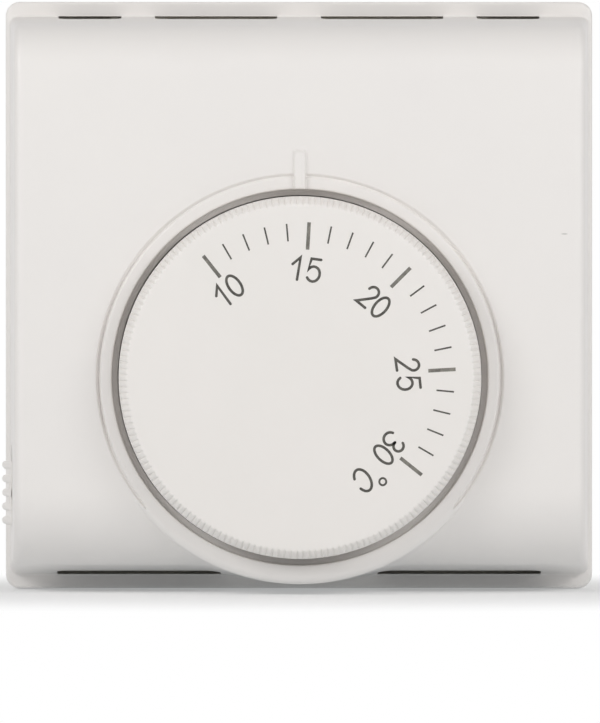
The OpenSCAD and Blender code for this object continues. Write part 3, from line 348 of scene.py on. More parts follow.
def buildCover(c):
    angles = coverAngles(c)
    n = len(angles)
    cosA, sinA = np.cos(angles)[:, None], np.sin(angles)[:, None]

    def ring(radius, height):
        return ringAt(angles, c["dialY"], radius, height)

    def fronts(radius, inset=0.0):
        return frontOf(c, radius * cosA, radius * sinA + c["dialY"], inset)

    # edges of the bands of outer skin between the well and the rim's edge; each band keeps a little width
    halfX, halfY = c["width"] / 2, c["height"] / 2
    rimEdge = outlineAt(c, angles, halfX, halfY, c["rimCorner"])
    foot = outlineAt(c, angles, c["footX"], c["footY"], c["sideRadius"])
    before, beyond = c["footBand"]
    outerFoot = np.minimum(np.maximum(foot, c["collarFoot"]) + beyond, rimEdge - 0.15)
    innerEdge = np.full(n, c["collarFlat"] + c["collarBand"])
    wallIn = np.maximum(np.minimum(foot, outerFoot - 0.5) - before, innerEdge + 0.05)
    wallIn = np.minimum(wallIn, outerFoot - 0.05)
    innerEdge = np.minimum(innerEdge, wallIn - 0.02)
    edges = (np.full(n, c["wellRadius"] + c["wellEdge"]), innerEdge, wallIn, outerFoot, rimEdge - c["rimStop"])
    parts = []
    for a, b, (samples, count, bend) in zip(edges, edges[1:], c["bands"]):
        t = np.linspace(0, 1, samples)[None, :]
        rho = a[:, None] * (1 - t) + b[:, None] * t
        dr, dz = np.diff(rho, axis=1), np.diff(fronts(rho), axis=1)
        slope = np.arctan2(dz, dr)
        turn = np.minimum(np.abs(np.diff(slope, axis=1, append=slope[:, -1:])), c["bendLimit"])
        weight = np.hypot(dr, dz) + bend * turn + (b - a)[:, None] / samples * c["evenShare"]
        parts.append(spread(rho, count + 1, evened(weight))[:, :-1])
    rho = np.concatenate(parts, axis=1)
    rho[:, -1] = edges[-1]
    z = fronts(rho)
    skin = [ring(rho[:, j], z[:, j]) for j in range(rho.shape[1])]
    # the well: floor, the ledge round the dial's edge, wall and the soft edge to the collar
    top, floor, wall, r = z[:, 0], c["wellFloor"], c["wellRadius"], c["wellEdge"]
    edge, ledge, soft, bevel = c["ledgeRadius"], c["ledgeFront"], c["ledgeEdge"], c["ledgeBevel"]
    well = [ring(c["wellHole"], floor), ring(c["floorRow"], floor), ring(edge - bevel, floor),
            ring(edge, floor + bevel), ring(edge, ledge - bevel),
            ring(edge + 0.3 * bevel, ledge - 0.3 * bevel), ring(edge + bevel, ledge)]
    for a in np.radians((0, 30, 60, 90)):
        well.append(ring(wall - soft + soft * math.sin(a), ledge + soft * (1 - math.cos(a))))
    for t in (0.3, 0.6, 0.9):
        well.append(ring(wall, ledge + soft + t * (top - ledge - soft - r)))
    for a in np.radians((0, 30, 60)):
        well.append(ring(wall + r * (1 - math.cos(a)), top - r + r * math.sin(a)))
    # down the rim's edge, across its back and up the inside
    back, low, r = [], z[:, -1], c["skirtEdge"]
    for t in (0.35, 0.7):
        back.append(ring(rimEdge, low + t * (c["skirtBack"] + r - low)))
    for a in np.radians((0, 45, 90)):
        back.append(ring(rimEdge - r * (1 - math.cos(a)), c["skirtBack"] + r * (1 - math.sin(a))))
    skirtIn = outlineAt(c, angles, halfX - c["skirt"], halfY - c["skirt"], c["skirtCorner"])
    back += [ring(skirtIn, c["skirtBack"]), ring(skirtIn, c["skirtDepth"])]
    # inner skin, coarser than the outer one, and the back of the well's floor
    hoodIn = outlineAt(c, angles, c["footX"] - c["wall"], c["footY"] - c["wall"], c["innerCorner"])
    samples, count = c["innerBand"]
    t = np.linspace(0, 1, samples)[None, :]
    a, b = np.full(n, wall + c["wellThick"]), np.maximum(hoodIn, c["collarFoot"] - c["wall"]) - 0.03
    path = a[:, None] * (1 - t) + b[:, None] * t
    length = np.hypot(np.diff(path, axis=1), np.diff(fronts(path, c["wall"]), axis=1))
    path = spread(path, count, evened(length))
    height = np.maximum(fronts(path, c["wall"]), c["skirtDepth"])
    inner = [ring(path[:, j], height[:, j]) for j in range(count - 1, -1, -1)]
    inner += [ring(radius, floor - c["wellThick"]) for radius in (a, c["floorRow"], c["wellHole"])]
    rows = well + skin + back + inner
    print("cover skin:", n, "lines,", len(rows), "rows")
    return newObject("cover_moulding", np.concatenate(rows), quads(len(rows), n, closed=True), 40)


# mm; where each slot starts and ends across the cover, and the opening behind it in the rim's web
vents = {
    "top": ((-34.0, -25.1), (-20.4, -3.1), (3.1, 20.4), (25.1, 34.0)), "bottom": ((-34.2, -11.1), (11.1, 34.2)),
    "height": 3.9, "lift": 0.02, "cornerRadius": 1.5, "reach": (-2.0, 3.4),
    "webBack": 5.8, "webOver": 0.9, "webIn": 2.3, "webOut": 0.1, "webSide": 0.01,
}
# mm; boss and bore of the cover's screw, holes for the limit pins, hooks at the rim and the slide's slot
coverInner = {
    "screw": (15.7, 4.3), "bossRadius": 4.3, "bossLength": 4.0, "boreRadius": 1.6, "headRadius": 3.0, "headDepth": 2.4,
    "pinHoles": 13, "pinCircle": 15.0, "pinEnd": 99.6, "pinRadius": 1.22,
    "hookX": 22.75, "hookHalf": 2.2, "hookY": (39.1, 40.8), "hookZ": (3.4, 5.0),
    "slotX": (-45.0, -37.0), "slotY": (-30.7, -21.1), "slotZ": (13.75, 17.25),
}


def ventCutter(c, v, x0, x1, side):
    # slot through an end wall: square at the rim, rounded in front
    low, high, r = c["rimFront"], c["rimFront"] + v["height"], v["cornerRadius"]
    outline = [(x0, low), (x1, low)]
    for x, start in ((x1 - r, 0), (x0 + r, 90)):
        for a in np.radians(np.arange(start, start + 91, 15)):
            outline.append((x + r * math.cos(a), high - r + r * math.sin(a)))
    k = lean(c, "endDraft", "topRadius" if side > 0 else "bottomRadius")
    verts = [(x, side * (c["footY"] - k * (z - low) - depth), z + v["lift"])
             for depth in v["reach"] for x, z in outline]
    n = len(outline)
    return verts, [tuple(range(n)), tuple(range(2 * n - 1, n - 1, -1))] + quads(2, n)


def webCutter(c, v, x0, x1, side):
    # opening in the rim's web behind the slot
    near, far = sorted((side * (c["footY"] - v["webIn"]), side * (c["footY"] + v["webOut"])))
    return slab(x0 + v["webSide"], x1 - v["webSide"], near, far, v["webBack"], c["rimFront"] + v["webOver"])


def finishCover(piece, c, v, m):
    # joins the boss and hooks on, then cuts the openings; cutters run a little past what they cut
    x, y = m["screw"]
    floor, hookX = c["wellFloor"], m["hookX"]
    added = [disc(x, y, m["bossRadius"], floor - m["bossLength"], floor - 0.1)]
    for side in (-hookX, hookX):
        added.append(slab(side - m["hookHalf"], side + m["hookHalf"], *m["hookY"], *m["hookZ"]))
    applyBoolean(piece, newObject("added", *gather(added)), "UNION")
    slots = [(x0, x1, side) for end, side in (("top", 1), ("bottom", -1)) for x0, x1 in v[end]]
    cuts = [ventCutter(c, v, *slot) for slot in slots]
    cuts.append(slab(*m["slotX"], *m["slotY"], *m["slotZ"]))
    cuts.append(disc(x, y, m["boreRadius"], floor - 5, floor - 2))
    cuts.append(disc(x, y, m["headRadius"], floor - m["headDepth"], floor + 0.5))
    for a in np.radians(np.linspace(-m["pinEnd"], m["pinEnd"], m["pinHoles"])):
        cuts.append(disc(-m["pinCircle"] * math.sin(a), c["dialY"] + m["pinCircle"] * math.cos(a), m["pinRadius"],
                         floor - c["wellThick"] - 1, floor + 1, 24))
    applyBoolean(piece, newObject("cutter", *gather(cuts)))
    applyBoolean(piece, newObject("webs", *gather(webCutter(c, v, *slot) for slot in slots)))
    shadeByAngle(piece.data, 40)


coverPiece = buildCover(cover)
finishCover(coverPiece, cover, vents, coverInner)
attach(coverPiece, "housing")
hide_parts("cover")
print("cover built:", len(coverPiece.data.polygons), "faces")

# mm; crest and groove of a serration run out from the face's edge and down from its front
dial = {
    "y": -11.4, "radius": 25.1, "front": 34.97, "back": 25.3, "plate": 2.0, "skirt": 2.2,
    "faceRadius": 23.9, "faceRows": (2.0, 8.0, 16.0, 21.0), "teeth": 180,
    "crest": ((-0.4, 0), (-0.02, 0), (0.12, 0.04), (0.3, 0.2), (0.52, 0.5), (0.74, 0.85), (0.92, 1.2),
              (1.06, 1.6), (1.17, 2.0), (1.2, 2.3)),
    "groove": ((-0.4, 0), (-0.12, 0.004), (-0.02, 0.07), (0.13, 0.26), (0.34, 0.56), (0.56, 0.92), (0.74, 1.28),
               (0.89, 1.68), (1.07, 2.06), (1.2, 2.36)),
    "across": (1.0, 1.0, 0.9, 0.45, 0.0, 0.45, 0.9, 1.0),  # share of the crest: a flat rib, then a narrower groove
    "smoothFrom": 5.0, "backEdge": (0.5, 0.15), "edge": 0.2, "fillet": 0.4,
    "hubRadius": 5.5, "hubBack": 26.85, "boreRadius": 3.02, "boreFront": 33.5, "boreFlat": 2.18,
    "ribEvery": 60, "ribStart": 4.5, "ribHalf": 0.5, "ribHeight": 2.0,
    "stop": (13.0, 17.0), "stopHalf": 2.0, "stopAngle": 45, "stopGap": 0.9, "sunk": 0.3,
}


def buildDial(d):
    r, top, low, face, hub = d["radius"], d["front"], d["back"], d["faceRadius"], d["hubRadius"]
    count = d["teeth"] * len(d["across"])
    angles = np.linspace(0, 2 * math.pi, count, endpoint=False)
    share = np.tile(d["across"], d["teeth"])
    # from the middle of the face over the serrations, down the skirt, under the plate and into the bore
    path = [(radius, top) for radius in d["faceRows"]]
    for (outC, downC), (outG, downG) in zip(d["crest"], d["groove"]):
        path.append((face + outG + (outC - outG) * share, top - downG - (downC - downG) * share))
    wide, narrow = d["backEdge"]
    path += [(r, top - d["smoothFrom"]), (r, low + wide), (r - narrow, low + narrow), (r - wide, low)]
    under, inner, edge, fillet = top - d["plate"], r - d["skirt"], d["edge"], d["fillet"]
    path += [(inner + edge, low), (inner, low + edge), (inner, under - fillet), (inner - fillet, under),
             (hub + fillet, under), (hub, under - fillet), (hub, d["hubBack"] + edge), (hub - edge, d["hubBack"]),
             (d["boreRadius"], d["hubBack"]), (d["boreRadius"], d["boreFront"])]
    rings = [ringAt(angles, d["y"], radius, height) for radius, height in path]
    # the bore has a flat for the spindle's
    for ring in rings[-2:]:
        ring[:, 1] = np.minimum(ring[:, 1], d["y"] + d["boreFlat"])
    verts = np.concatenate(rings + [np.array([[0, d["y"], top], [0, d["y"], d["boreFront"]]])])
    faces = quads(len(rings), count)
    tip, last = len(rings) * count, (len(rings) - 1) * count
    for i in range(count):
        k = (i + 1) % count
        faces += [(tip, k, i), (tip + 1, last + i, last + k)]
    # ribs under the plate and the stop that runs between the two limit pins
    bodies = [(verts, faces)]
    for a in range(0, 360, d["ribEvery"]):
        outline = bar(d["y"], d["ribStart"], inner + d["sunk"], d["ribHalf"], a)
        bodies.append(prism(outline, under - d["ribHeight"], under + d["sunk"]))
    outline = bar(d["y"], *d["stop"], d["stopHalf"], d["stopAngle"])
    bodies.append(prism(outline, low + d["stopGap"], under + d["sunk"]))
    return newObject("dial_knob", *gather(bodies), 50)


dialPiece = buildDial(dial)
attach(dialPiece, "dial")
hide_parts("dial")
print("dial built:", len(dialPiece.data.polygons), "faces")

# mm and degrees clockwise from the top; a bar is its inner and outer radius and its width
scale = {
    "perDegree": 8.355, "first": -38.46, "from": 10, "to": 30, "every": 5,
    "minor": (18.91, 21.33, 0.23), "major": (17.72, 21.5, 0.5),
    "ink": 0.012, "sunk": 0.05, "digit": 3.12, "stroke": 0.37, "ringStroke": 0.28, "slant": 1.8,
}


def arc(cx, cy, rx, ry, first, last, steps=14):
    # points of an ellipse, angles clockwise from the top
    turns = [math.radians(first + (last - first) * k / steps) for k in range(steps + 1)]
    return [(cx + rx * math.sin(a), cy + ry * math.cos(a)) for a in turns]


# centre lines of each figure in a box one high, x to the right of its middle
glyphs = {
    "0": [arc(0, 0.5, 0.265, 0.5, 0, 360, 36)],
    "1": [[(-0.3, 0.66), (0.0, 1.0), (0.0, 0.0)]],
    "2": [arc(0.05, 0.747, 0.243, 0.253, -84, 112) + [(0.16, 0.5), (-0.29, 0.0), (0.22, 0.0)]],
    "3": [arc(-0.01, 0.775, 0.235, 0.225, -78, 176) + [(-0.02, 0.55)],
          [(-0.02, 0.55)] + arc(0.02, 0.27, 0.29, 0.27, 6, 254)],
    "5": [[(0.27, 1.0), (-0.156, 1.0), (-0.222, 0.5)] + arc(0.02, 0.334, 0.29, 0.334, -46, 236)],
    "C": [arc(0.0, 0.5, 0.323, 0.53, 62, -242, 22)],
    "ring": [arc(0.0, 0.5, 0.5, 0.5, 0, 360, 24)],
}
# figure, angle clockwise from the top, distance of its middle from the axis, turn, size
figures = [
    ("1", -42.6, 15.56, -38.2, 1), ("0", -35.4, 15.62, -38.2, 1), ("1", -0.7, 15.09, 7.6, 1), ("5", 7.0, 14.95, 7.6, 1),
    ("2", 40.0, 14.72, 39.4, 1), ("0", 48.7, 14.8, 39.4, 1), ("2", 82.9, 14.95, 82.0, 1), ("5", 92.4, 15.0, 84.0, 1),
    ("3", 124.4, 15.69, 132.0, 1), ("0", 132.7, 15.65, 132.0, 1),
    ("C", 148.5, 16.59, 145.0, 1), ("ring", 141.5, 18.33, 141.5, 0.31),
]


def inkLine(points, width, low, high):
    # raised band of even width along a line, joined to a ring or with round ends
    pts = [np.array(p, dtype=float) for p in points]
    half, last = width / 2, len(pts) - 1
    closed = np.hypot(*(pts[0] - pts[-1])) < 1e-6
    rows = []
    for i, p in enumerate(pts[:-1] if closed else pts):
        if i in (0, last) and not closed:
            t = (pts[1] - p) if i == 0 else (p - pts[-2])
            t = t / np.hypot(*t)
            across = np.array([-t[1], t[0]])
            away = -1 if i == 0 else 1
            for a in np.radians((0, 25, 50, 70, 90)[::-away]):
                rows.append((p + away * t * half * math.cos(a), across * half * max(math.sin(a), 0.02)))
            continue
        before, after = p - pts[i - 1 if i else last - 1], pts[i + 1] - p
        before, after = before / np.hypot(*before), after / np.hypot(*after)
        t = (before + after) / np.hypot(*(before + after))
        across = np.array([-t[1], t[0]])
        # a corner reaches out, but no more than 2.5 times
        rows.append((p, across * half / max(0.4, float(np.dot(across, (-after[1], after[0]))))))
    verts, faces = [], []
    for centre, side in rows:
        for z in (low, high):
            verts += [(*(centre + side), z), (*(centre - side), z)]
    count = len(rows)
    for i in range(count if closed else count - 1):
        a, b = 4 * i, 4 * ((i + 1) % count)
        faces += [(a, b, b + 1, a + 1), (a + 2, a + 3, b + 3, b + 2),
                  (a, a + 2, b + 2, b), (a + 1, b + 1, b + 3, a + 3)]
    if not closed:
        e = 4 * (count - 1)
        faces += [(0, 1, 3, 2), (e, e + 2, e + 3, e + 1)]
    return verts, faces


def buildTicks(name, d, c, values, size):
    # one printed bar for each value
    bodies = []
    inner, outer, width = size
    for value in values:
        outline = bar(d["y"], inner, outer, width / 2, 90 - c["first"] - (value - c["from"]) * c["perDegree"])
        bodies.append(prism(outline, d["front"] - c["sunk"], d["front"] + c["ink"]))
    return newObject(name, *gather(bodies), 30)


def buildFigures(d, c):
    bodies = []
    slant = math.tan(math.radians(c["slant"]))
    for figure, at, radius, turn, size in figures:
        h = c["digit"] * size
        a, b = math.radians(at), math.radians(turn)
        for stroke in glyphs[figure]:
            points = []
            for gx, gy in stroke:
                gx, gy = (gx + slant * (gy - 0.5)) * h, (gy - 0.5) * h
                points.append((radius * math.sin(a) + gx * math.cos(b) + gy * math.sin(b),
                               radius * math.cos(a) - gx * math.sin(b) + gy * math.cos(b) + d["y"]))
            width = c["stroke"] if size == 1 else c["ringStroke"]
            bodies.append(inkLine(points, width, d["front"] - c["sunk"], d["front"] + c["ink"]))
    return newObject("dial_figures", *gather(bodies), 30)


values = range(scale["from"], scale["to"] + 1)
longTicks = buildTicks("dial_long_ticks", dial, scale, [v for v in values if v % scale["every"] == 0], scale["major"])
shortTicks = buildTicks("dial_short_ticks", dial, scale, [v for v in values if v % scale["every"]], scale["minor"])
figurePiece = buildFigures(dial, scale)
for piece in (longTicks, shortTicks, figurePiece):
    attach(piece, "dial")
print("scale printed")

# mm; taper is how far the ribs stand out of the wall, and at which share of the grip's height
grip = {
    "y": -27.9, "z": 15.5, "tip": -41.86, "length": 9.0, "height": 5.0, "inner": -39.6, "plate": -41.34,
    "endIn": 0.3, "endRamp": 0.7, "rampStep": (0.15, 0.6), "wallIn": 0.65, "gap": 0.015, "edge": 0.12,
    "ribs": 5, "pitch": 1.95, "ribShift": 0.15, "ribHalf": 0.52, "ribFoot": 0.1, "ribRound": 0.45,
    "taper": ((1.0, 0.0), (0.97, 0.15), (0.8, 0.4), (0.55, 0.65), (0.3, 0.85), (0.08, 1.0)),
    "neck": (-40.75, -37.36), "neckHalf": (2.5, 1.4), "carriage": (-37.66, -34.36), "carriageHalf": (4.6, 2.3),
    "carriageEdge": 0.15,
}


def buildGrip(g, c):
    # outline seen from the front: a plate with rounded ribs
    half, ramp, plate, end = g["length"] / 2, g["endRamp"], g["plate"], g["endIn"] - c["footX"]
    step, share = g["rampStep"]
    outline = [(g["inner"], -half), (end, -half), (plate + step, -half + ramp * share), (plate, -half + ramp)]
    for k in range(g["ribs"]):
        y = (k - (g["ribs"] - 1) / 2) * g["pitch"] + g["ribShift"]
        outline.append((plate, y - g["ribHalf"] - g["ribFoot"]))
        for a in np.radians(np.arange(-90, 91, 15)):
            outline.append((g["tip"] + g["ribRound"] * (1 - math.cos(a)), y + g["ribHalf"] * math.sin(a)))
        outline.append((plate, y + g["ribHalf"] + g["ribFoot"]))
    outline += [(plate, half - ramp), (plate + step, half - ramp * share), (end, half), (g["inner"], half)]
    # the front end runs down to the side wall
    wall, low = g["wallIn"] - c["footX"], g["z"] - g["height"] / 2
    outlines = [[(wall + (x - wall) * share if x < wall else x, y + g["y"]) for x, y in outline]
                for share, at in g["taper"]]
    body = newObject("slide_grip", *loft(outlines, [low + at * g["height"] for share, at in g["taper"]]))
    roundEdges(body.data, g["edge"], 50)
    # cut off along the drafted side wall
    bm = bmesh.new()
    bm.from_mesh(body.data)
    cut = bmesh.ops.bisect_plane(bm, geom=list(bm.verts) + list(bm.edges) + list(bm.faces), clear_outer=True,
                                 plane_co=(-(c["footX"] + g["gap"]) * mm, -c["rimFront"] * mm, 0),
                                 plane_no=(1, lean(c, "sideDraft", "sideRadius"), 0))
    bmesh.ops.holes_fill(bm, edges=[e for e in cut["geom_cut"] if isinstance(e, bmesh.types.BMEdge)], sides=0)
    bm.to_mesh(body.data)
    bm.free()
    # neck through the slot, and the carriage behind it
    bodies = []
    for x, (halfY, halfZ) in ((g["neck"], g["neckHalf"]), (g["carriage"], g["carriageHalf"])):
        bodies.append(slab(*x, g["y"] - halfY, g["y"] + halfY, g["z"] - halfZ, g["z"] + halfZ))
    rest = newObject("rest", *gather(bodies))
    roundEdges(rest.data, g["carriageEdge"], 55)
    applyBoolean(body, rest, "UNION")
    shadeByAngle(body.data, 40)
    return body


gripPiece = buildGrip(grip, cover)
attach(gripPiece, "slider")
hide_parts("slide_knob")
print("slide grip built")

# finish of each part behind the cover, and its edge radius in mm
innerParts = {
    "base_moulding": (("base_plate", 0.14),),
    "natural_nylon": (("terminal_block", 0.12), ("capsule_button", 0.12)),
    "black_phenolic": (("snap_switch", 0.12), ("slide_case", 0.1)),
    "red_plastic": (("snap_plunger", 0.06), ("limit_pins", 0.1)),
    "zinc_steel": (("bridge", 0.07), ("chassis_plate", 0.07), ("lever", 0.07), ("spindle", 0.1), ("lever_pin", 0.1),
                   ("guide_pins", 0.1), ("cover_screw", 0.08), ("bridge_screws", 0.08), ("chassis_screws", 0.08),
                   ("block_screws", 0.08), ("snap_screws", 0.08), ("terminal_screws", 0.08)),
    "spring_steel": (("spindle_clip", 0.05), ("wave_washer", 0.05), ("pin_clip", 0.05)),
    "brass": (("adjuster_nut", 0.1), ("spindle_bush", 0.1), ("calibration_screw", 0.08), ("calibration_nut", 0.1),
              ("terminal_clamps", 0.1), ("snap_blades", 0.05), ("slide_blades", 0.05)),
    "bronze": (("capsule", 0.1),),
    "copper": (("slide_bridge", 0.05),),
    "resistor_lacquer": (("heater_resistor", 0.12),),
}
# share of the radius to try in turn and whether it is held back where edges meet, and the mm2 that may fold over
softening = {"tries": ((1, False), (0.7, False), (0.45, False), (0.3, False), (1, True), (0.5, True)), "folded": 0.5}


def foldedArea(mesh):
    # how much of the faces, in mm2, lies folded over itself where a rounding was too wide
    mesh.calc_loop_triangles()
    total = np.zeros(len(mesh.polygons))
    for triangle in mesh.loop_triangles:
        total[triangle.polygon_index] += triangle.area
    return float(np.abs(total - [face.area for face in mesh.polygons]).sum()) / mm ** 2


def softened(name, width):
    # the CAD node's shape with the small edge radius that its tool or press leaves, as wide as the shape allows
    lowest, highest = (np.array(corner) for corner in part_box(name))
    for share, held in softening["tries"]:
        mesh = nodes[name].data.copy()
        roundEdges(mesh, width * share, 30, held)
        corners = np.array([v.co for v in mesh.vertices])
        fits = (corners.min(axis=0) >= lowest - 1e-6).all() and (corners.max(axis=0) <= highest + 1e-6).all()
        if fits and foldedArea(mesh) < softening["folded"]:
            break
    else:
        print("edges left sharp:", name)
        mesh = nodes[name].data.copy()
    mesh.materials.clear()
    shadeByAngle(mesh, 40)
    piece = bpy.data.objects.new(name + "_soft", mesh)
    scene.collection.objects.link(piece)
    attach(piece, nodes[name]["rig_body"])
    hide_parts(name)
    return piece


inner = [(softened(name, width), slotName) for slotName, members in innerParts.items()
         for name, width in members]
print("inner parts softened:", len(inner))

spring = {
    "turns": 3.5, "steps": 220, "sides": 14, "wire": 0.43, "back": 11.87, "front": 16.03,
    "backRadius": 6.4, "frontRadius": 5.55, "flatEnds": 0.8,
}


def buildSpring(c, centreY):
    # coil with flat ends, from the lever up to the adjuster nut
    steps, sides, w = c["steps"], c["sides"], c["wire"]
    low, high = c["back"] + w, c["front"] - w
    verts = []
    for i in range(steps + 1):
        t = i / steps
        a = 2 * math.pi * c["turns"] * t
        r = c["backRadius"] + (c["frontRadius"] - c["backRadius"]) * t
        h = low + (high - low) * (t - math.sin(2 * math.pi * t) / (2 * math.pi) * c["flatEnds"])
        for j in range(sides):
            b = 2 * math.pi * j / sides
            out = r + w * math.cos(b)
            verts.append((out * math.cos(a), out * math.sin(a) + centreY, h + w * math.sin(b)))
    caps = [tuple(range(sides - 1, -1, -1)), tuple(range(steps * sides, (steps + 1) * sides))]
    return newObject("range_spring_coil", verts, quads(steps + 1, sides) + caps, 50)


springPiece = buildSpring(spring, dial["y"])
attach(springPiece, "housing")
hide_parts("range_spring")
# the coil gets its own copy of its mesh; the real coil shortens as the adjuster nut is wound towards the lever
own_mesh(springPiece)
print("spring wound")


def newMaterial(name):
    material = bpy.data.materials.new(name)
    material.use_nodes = True
    material.node_tree.nodes.clear()
    return material, material.node_tree


def perMetre(size):
    # noise scale whose features are about size mm wide
    return 1 / (size * mm)


def surface(tree, tint, gloss, bump, **values):
    # ends a material that has a colour, a roughness and a relief
    shader = addNode(tree, "BsdfPrincipled", links={"Base Color": tint, "Roughness": gloss, "Normal": bump}, **values)
    addNode(tree, "OutputMaterial", links={"Surface": shader})


def plastic(name, colour, shade, cloud, roughness, grain, depth, ior, peel, peelDepth):
    # even colour with faint clouds, satin skin with fine grain over a soft waviness;
    # cloud, grain and peel are the sizes of these patterns in mm, depth and peelDepth the height of the last two
    material, tree = newMaterial(name)
    place = {"Vector": addNode(tree, "TexCoord").outputs["Object"]}
    clouds = addNode(tree, "TexNoise", links=place, Scale=perMetre(cloud), Detail=3.0, Roughness=0.55)
    tint = addNode(tree, "Mix", {"data_type": "RGBA"}, {"Factor": clouds}, A=linear(shade), B=linear(colour))
    wipe = addNode(tree, "TexNoise", links=place, Scale=perMetre(cloud * 0.4), Detail=4.0, Roughness=0.6)
    gloss = addNode(tree, "MapRange", links={"Value": wipe}, From_Min=0.3, From_Max=0.7,
                    To_Min=roughness[0], To_Max=roughness[1])
    fine = addNode(tree, "TexNoise", links=place, Scale=perMetre(grain), Detail=2.0, Roughness=0.5)
    grainBump = addNode(tree, "Bump", links={"Height": fine}, Strength=1.0, Distance=depth * mm)
    wave = addNode(tree, "TexNoise", links=place, Scale=perMetre(peel), Detail=1.0)
    bump = addNode(tree, "Bump", links={"Height": wave, "Normal": grainBump}, Strength=1.0, Distance=peelDepth * mm)
    surface(tree, tint, gloss, bump, IOR=ior)
    return material


def metal(name, colour, tarnish, roughness, lay, lineSize, depth, patch):
    # drawn or rolled lines along the axis where lay is small, and patches of tarnish that also dull the shine;
    # lineSize and patch are the sizes of these patterns in mm, depth the lines' height
    material, tree = newMaterial(name)
    place = {"Vector": addNode(tree, "TexCoord").outputs["Object"]}
    patches = addNode(tree, "TexNoise", links=place, Scale=perMetre(patch), Detail=4.0, Roughness=0.6)
    mask = addNode(tree, "MapRange", links={"Value": patches}, From_Min=0.35, From_Max=0.75)
    tint = addNode(tree, "Mix", {"data_type": "RGBA"}, {"Factor": mask}, A=linear(colour), B=linear(tarnish))
    stretched = addNode(tree, "Mapping", links=place, Scale=lay)
    lines = addNode(tree, "TexNoise", links={"Vector": stretched}, Scale=perMetre(lineSize), Detail=3.0)
    both = addNode(tree, "Math", {"operation": "MULTIPLY_ADD"}, {0: lines, 2: mask})
    both.inputs[1].default_value = 0.6  # the lines' share beside the patches
    gloss = addNode(tree, "MapRange", links={"Value": both}, From_Min=0.1, From_Max=1.2,
                    To_Min=roughness[0], To_Max=roughness[1])
    bump = addNode(tree, "Bump", links={"Height": lines}, Strength=1.0, Distance=depth * mm)
    surface(tree, tint, gloss, bump, Metallic=1.0)
    return material


# mm; size, roughness, grain, IOR and waviness of the insulation, which all three wires share
pvc = (3.0, (0.36, 0.5), 0.4, 0.01, 1.53, 2.0, 0.02)
finishes = {
    # ABS, injection moulded in a spark-eroded tool: warm white, even, satin rather than glossy
    "cover_moulding": plastic("ABS warm white, moulded satin", "#ECE8E4", "#E9E5E2",
                              18.0, (0.4, 0.48), 0.3, 0.004, 1.53, 6.0, 0.006),
    # ABS from a finer tool: nearly the same white, and smoother
    "dial_moulding": plastic("ABS grey white, moulded fine satin", "#EDE8E4", "#E9E5E0",
                             15.0, (0.34, 0.42), 0.3, 0.003, 1.53, 6.0, 0.004),
    # ABS from a plainer tool: duller and yellower, with flow clouds
    "base_moulding": plastic("ABS ivory white, moulded plain", "#E6E2D9", "#DDD9CF",
                             16.0, (0.42, 0.55), 0.4, 0.008, 1.53, 5.0, 0.02),
    # polyamide without pigment: milky, with a yellow cast
    "natural_nylon": plastic("PA66 natural, moulded", "#E2DBC8", "#D6CEB8",
                             9.0, (0.36, 0.5), 0.3, 0.006, 1.53, 2.5, 0.012),
    # phenolic pressed hot from filled powder: near black, finely mottled, glossy in spots
    "black_phenolic": plastic("phenolic black, compression moulded", "#1E1D1C", "#2A2826",
                              1.4, (0.3, 0.5), 0.2, 0.01, 1.6, 2.0, 0.01),
    # polyester in small smooth moulds: full red with a soft shine
    "red_plastic": plastic("PBT red, moulded", "#B23A2B", "#A03226", 4.0, (0.32, 0.42), 0.3, 0.004, 1.55, 2.0, 0.008),
    # PVC drawn over the wire by a die: soft sheen, slightly wavy
    "brown_pvc": plastic("PVC brown, extruded", "#5C3A24", "#513220", *pvc),
    "black_pvc": plastic("PVC black, extruded", "#1F1F1F", "#2A2A29", *pvc),
    "red_pvc": plastic("PVC red, extruded", "#A4261C", "#921F18", *pvc),
    # steel strip and wire, zinc plated and clear passivated: cool, slightly cloudy grey
    "zinc_steel": metal("steel, zinc plated", "#C6C9CC", "#A9ABA6", (0.26, 0.46), (0.12, 1, 1), 0.3, 0.003, 4.0),
    # spring steel, drawn bare and oiled: darker and brownish, with a sharper shine
    "spring_steel": metal("spring steel, drawn and oiled", "#8E8B86", "#6A6660",
                          (0.22, 0.38), (0.3, 1, 1), 0.15, 0.002, 3.0),
    # brass as the lathe leaves it: bright yellow, fine lines, browned in patches
    "brass": metal("brass, turned", "#D0AE62", "#A98A48", (0.2, 0.36), (1, 0.15, 1), 0.2, 0.003, 3.0),
    # bronze sheet pressed into waves: pinkish and even, with a broad shine
    "bronze": metal("phosphor bronze, pressed sheet", "#CFA173", "#B0825A", (0.26, 0.4), (1, 1, 1), 0.4, 0.003, 6.0),
    # copper punched from strip: red with rolled lines
    "copper": metal("copper, punched sheet", "#CE8A66", "#A8664A", (0.24, 0.38), (1, 1, 0.2), 0.2, 0.002, 2.0),
    # copper wire dipped in tin: soft silver, no lines
    "tinned_copper": metal("copper wire, tinned", "#CFCDC8", "#B0AEA8", (0.26, 0.4), (1, 1, 1), 0.2, 0.002, 2.0),
}


def colouredBy(material):
    # tree, shader and place of a plastic, and what gives its colour so far
    tree = material.node_tree
    shader = next(n for n in tree.nodes if n.type == "BSDF_PRINCIPLED")
    place = next(n for n in tree.nodes if n.type == "TEX_COORD").outputs["Object"]
    return tree, shader, place, shader.inputs["Base Color"].links[0].from_socket


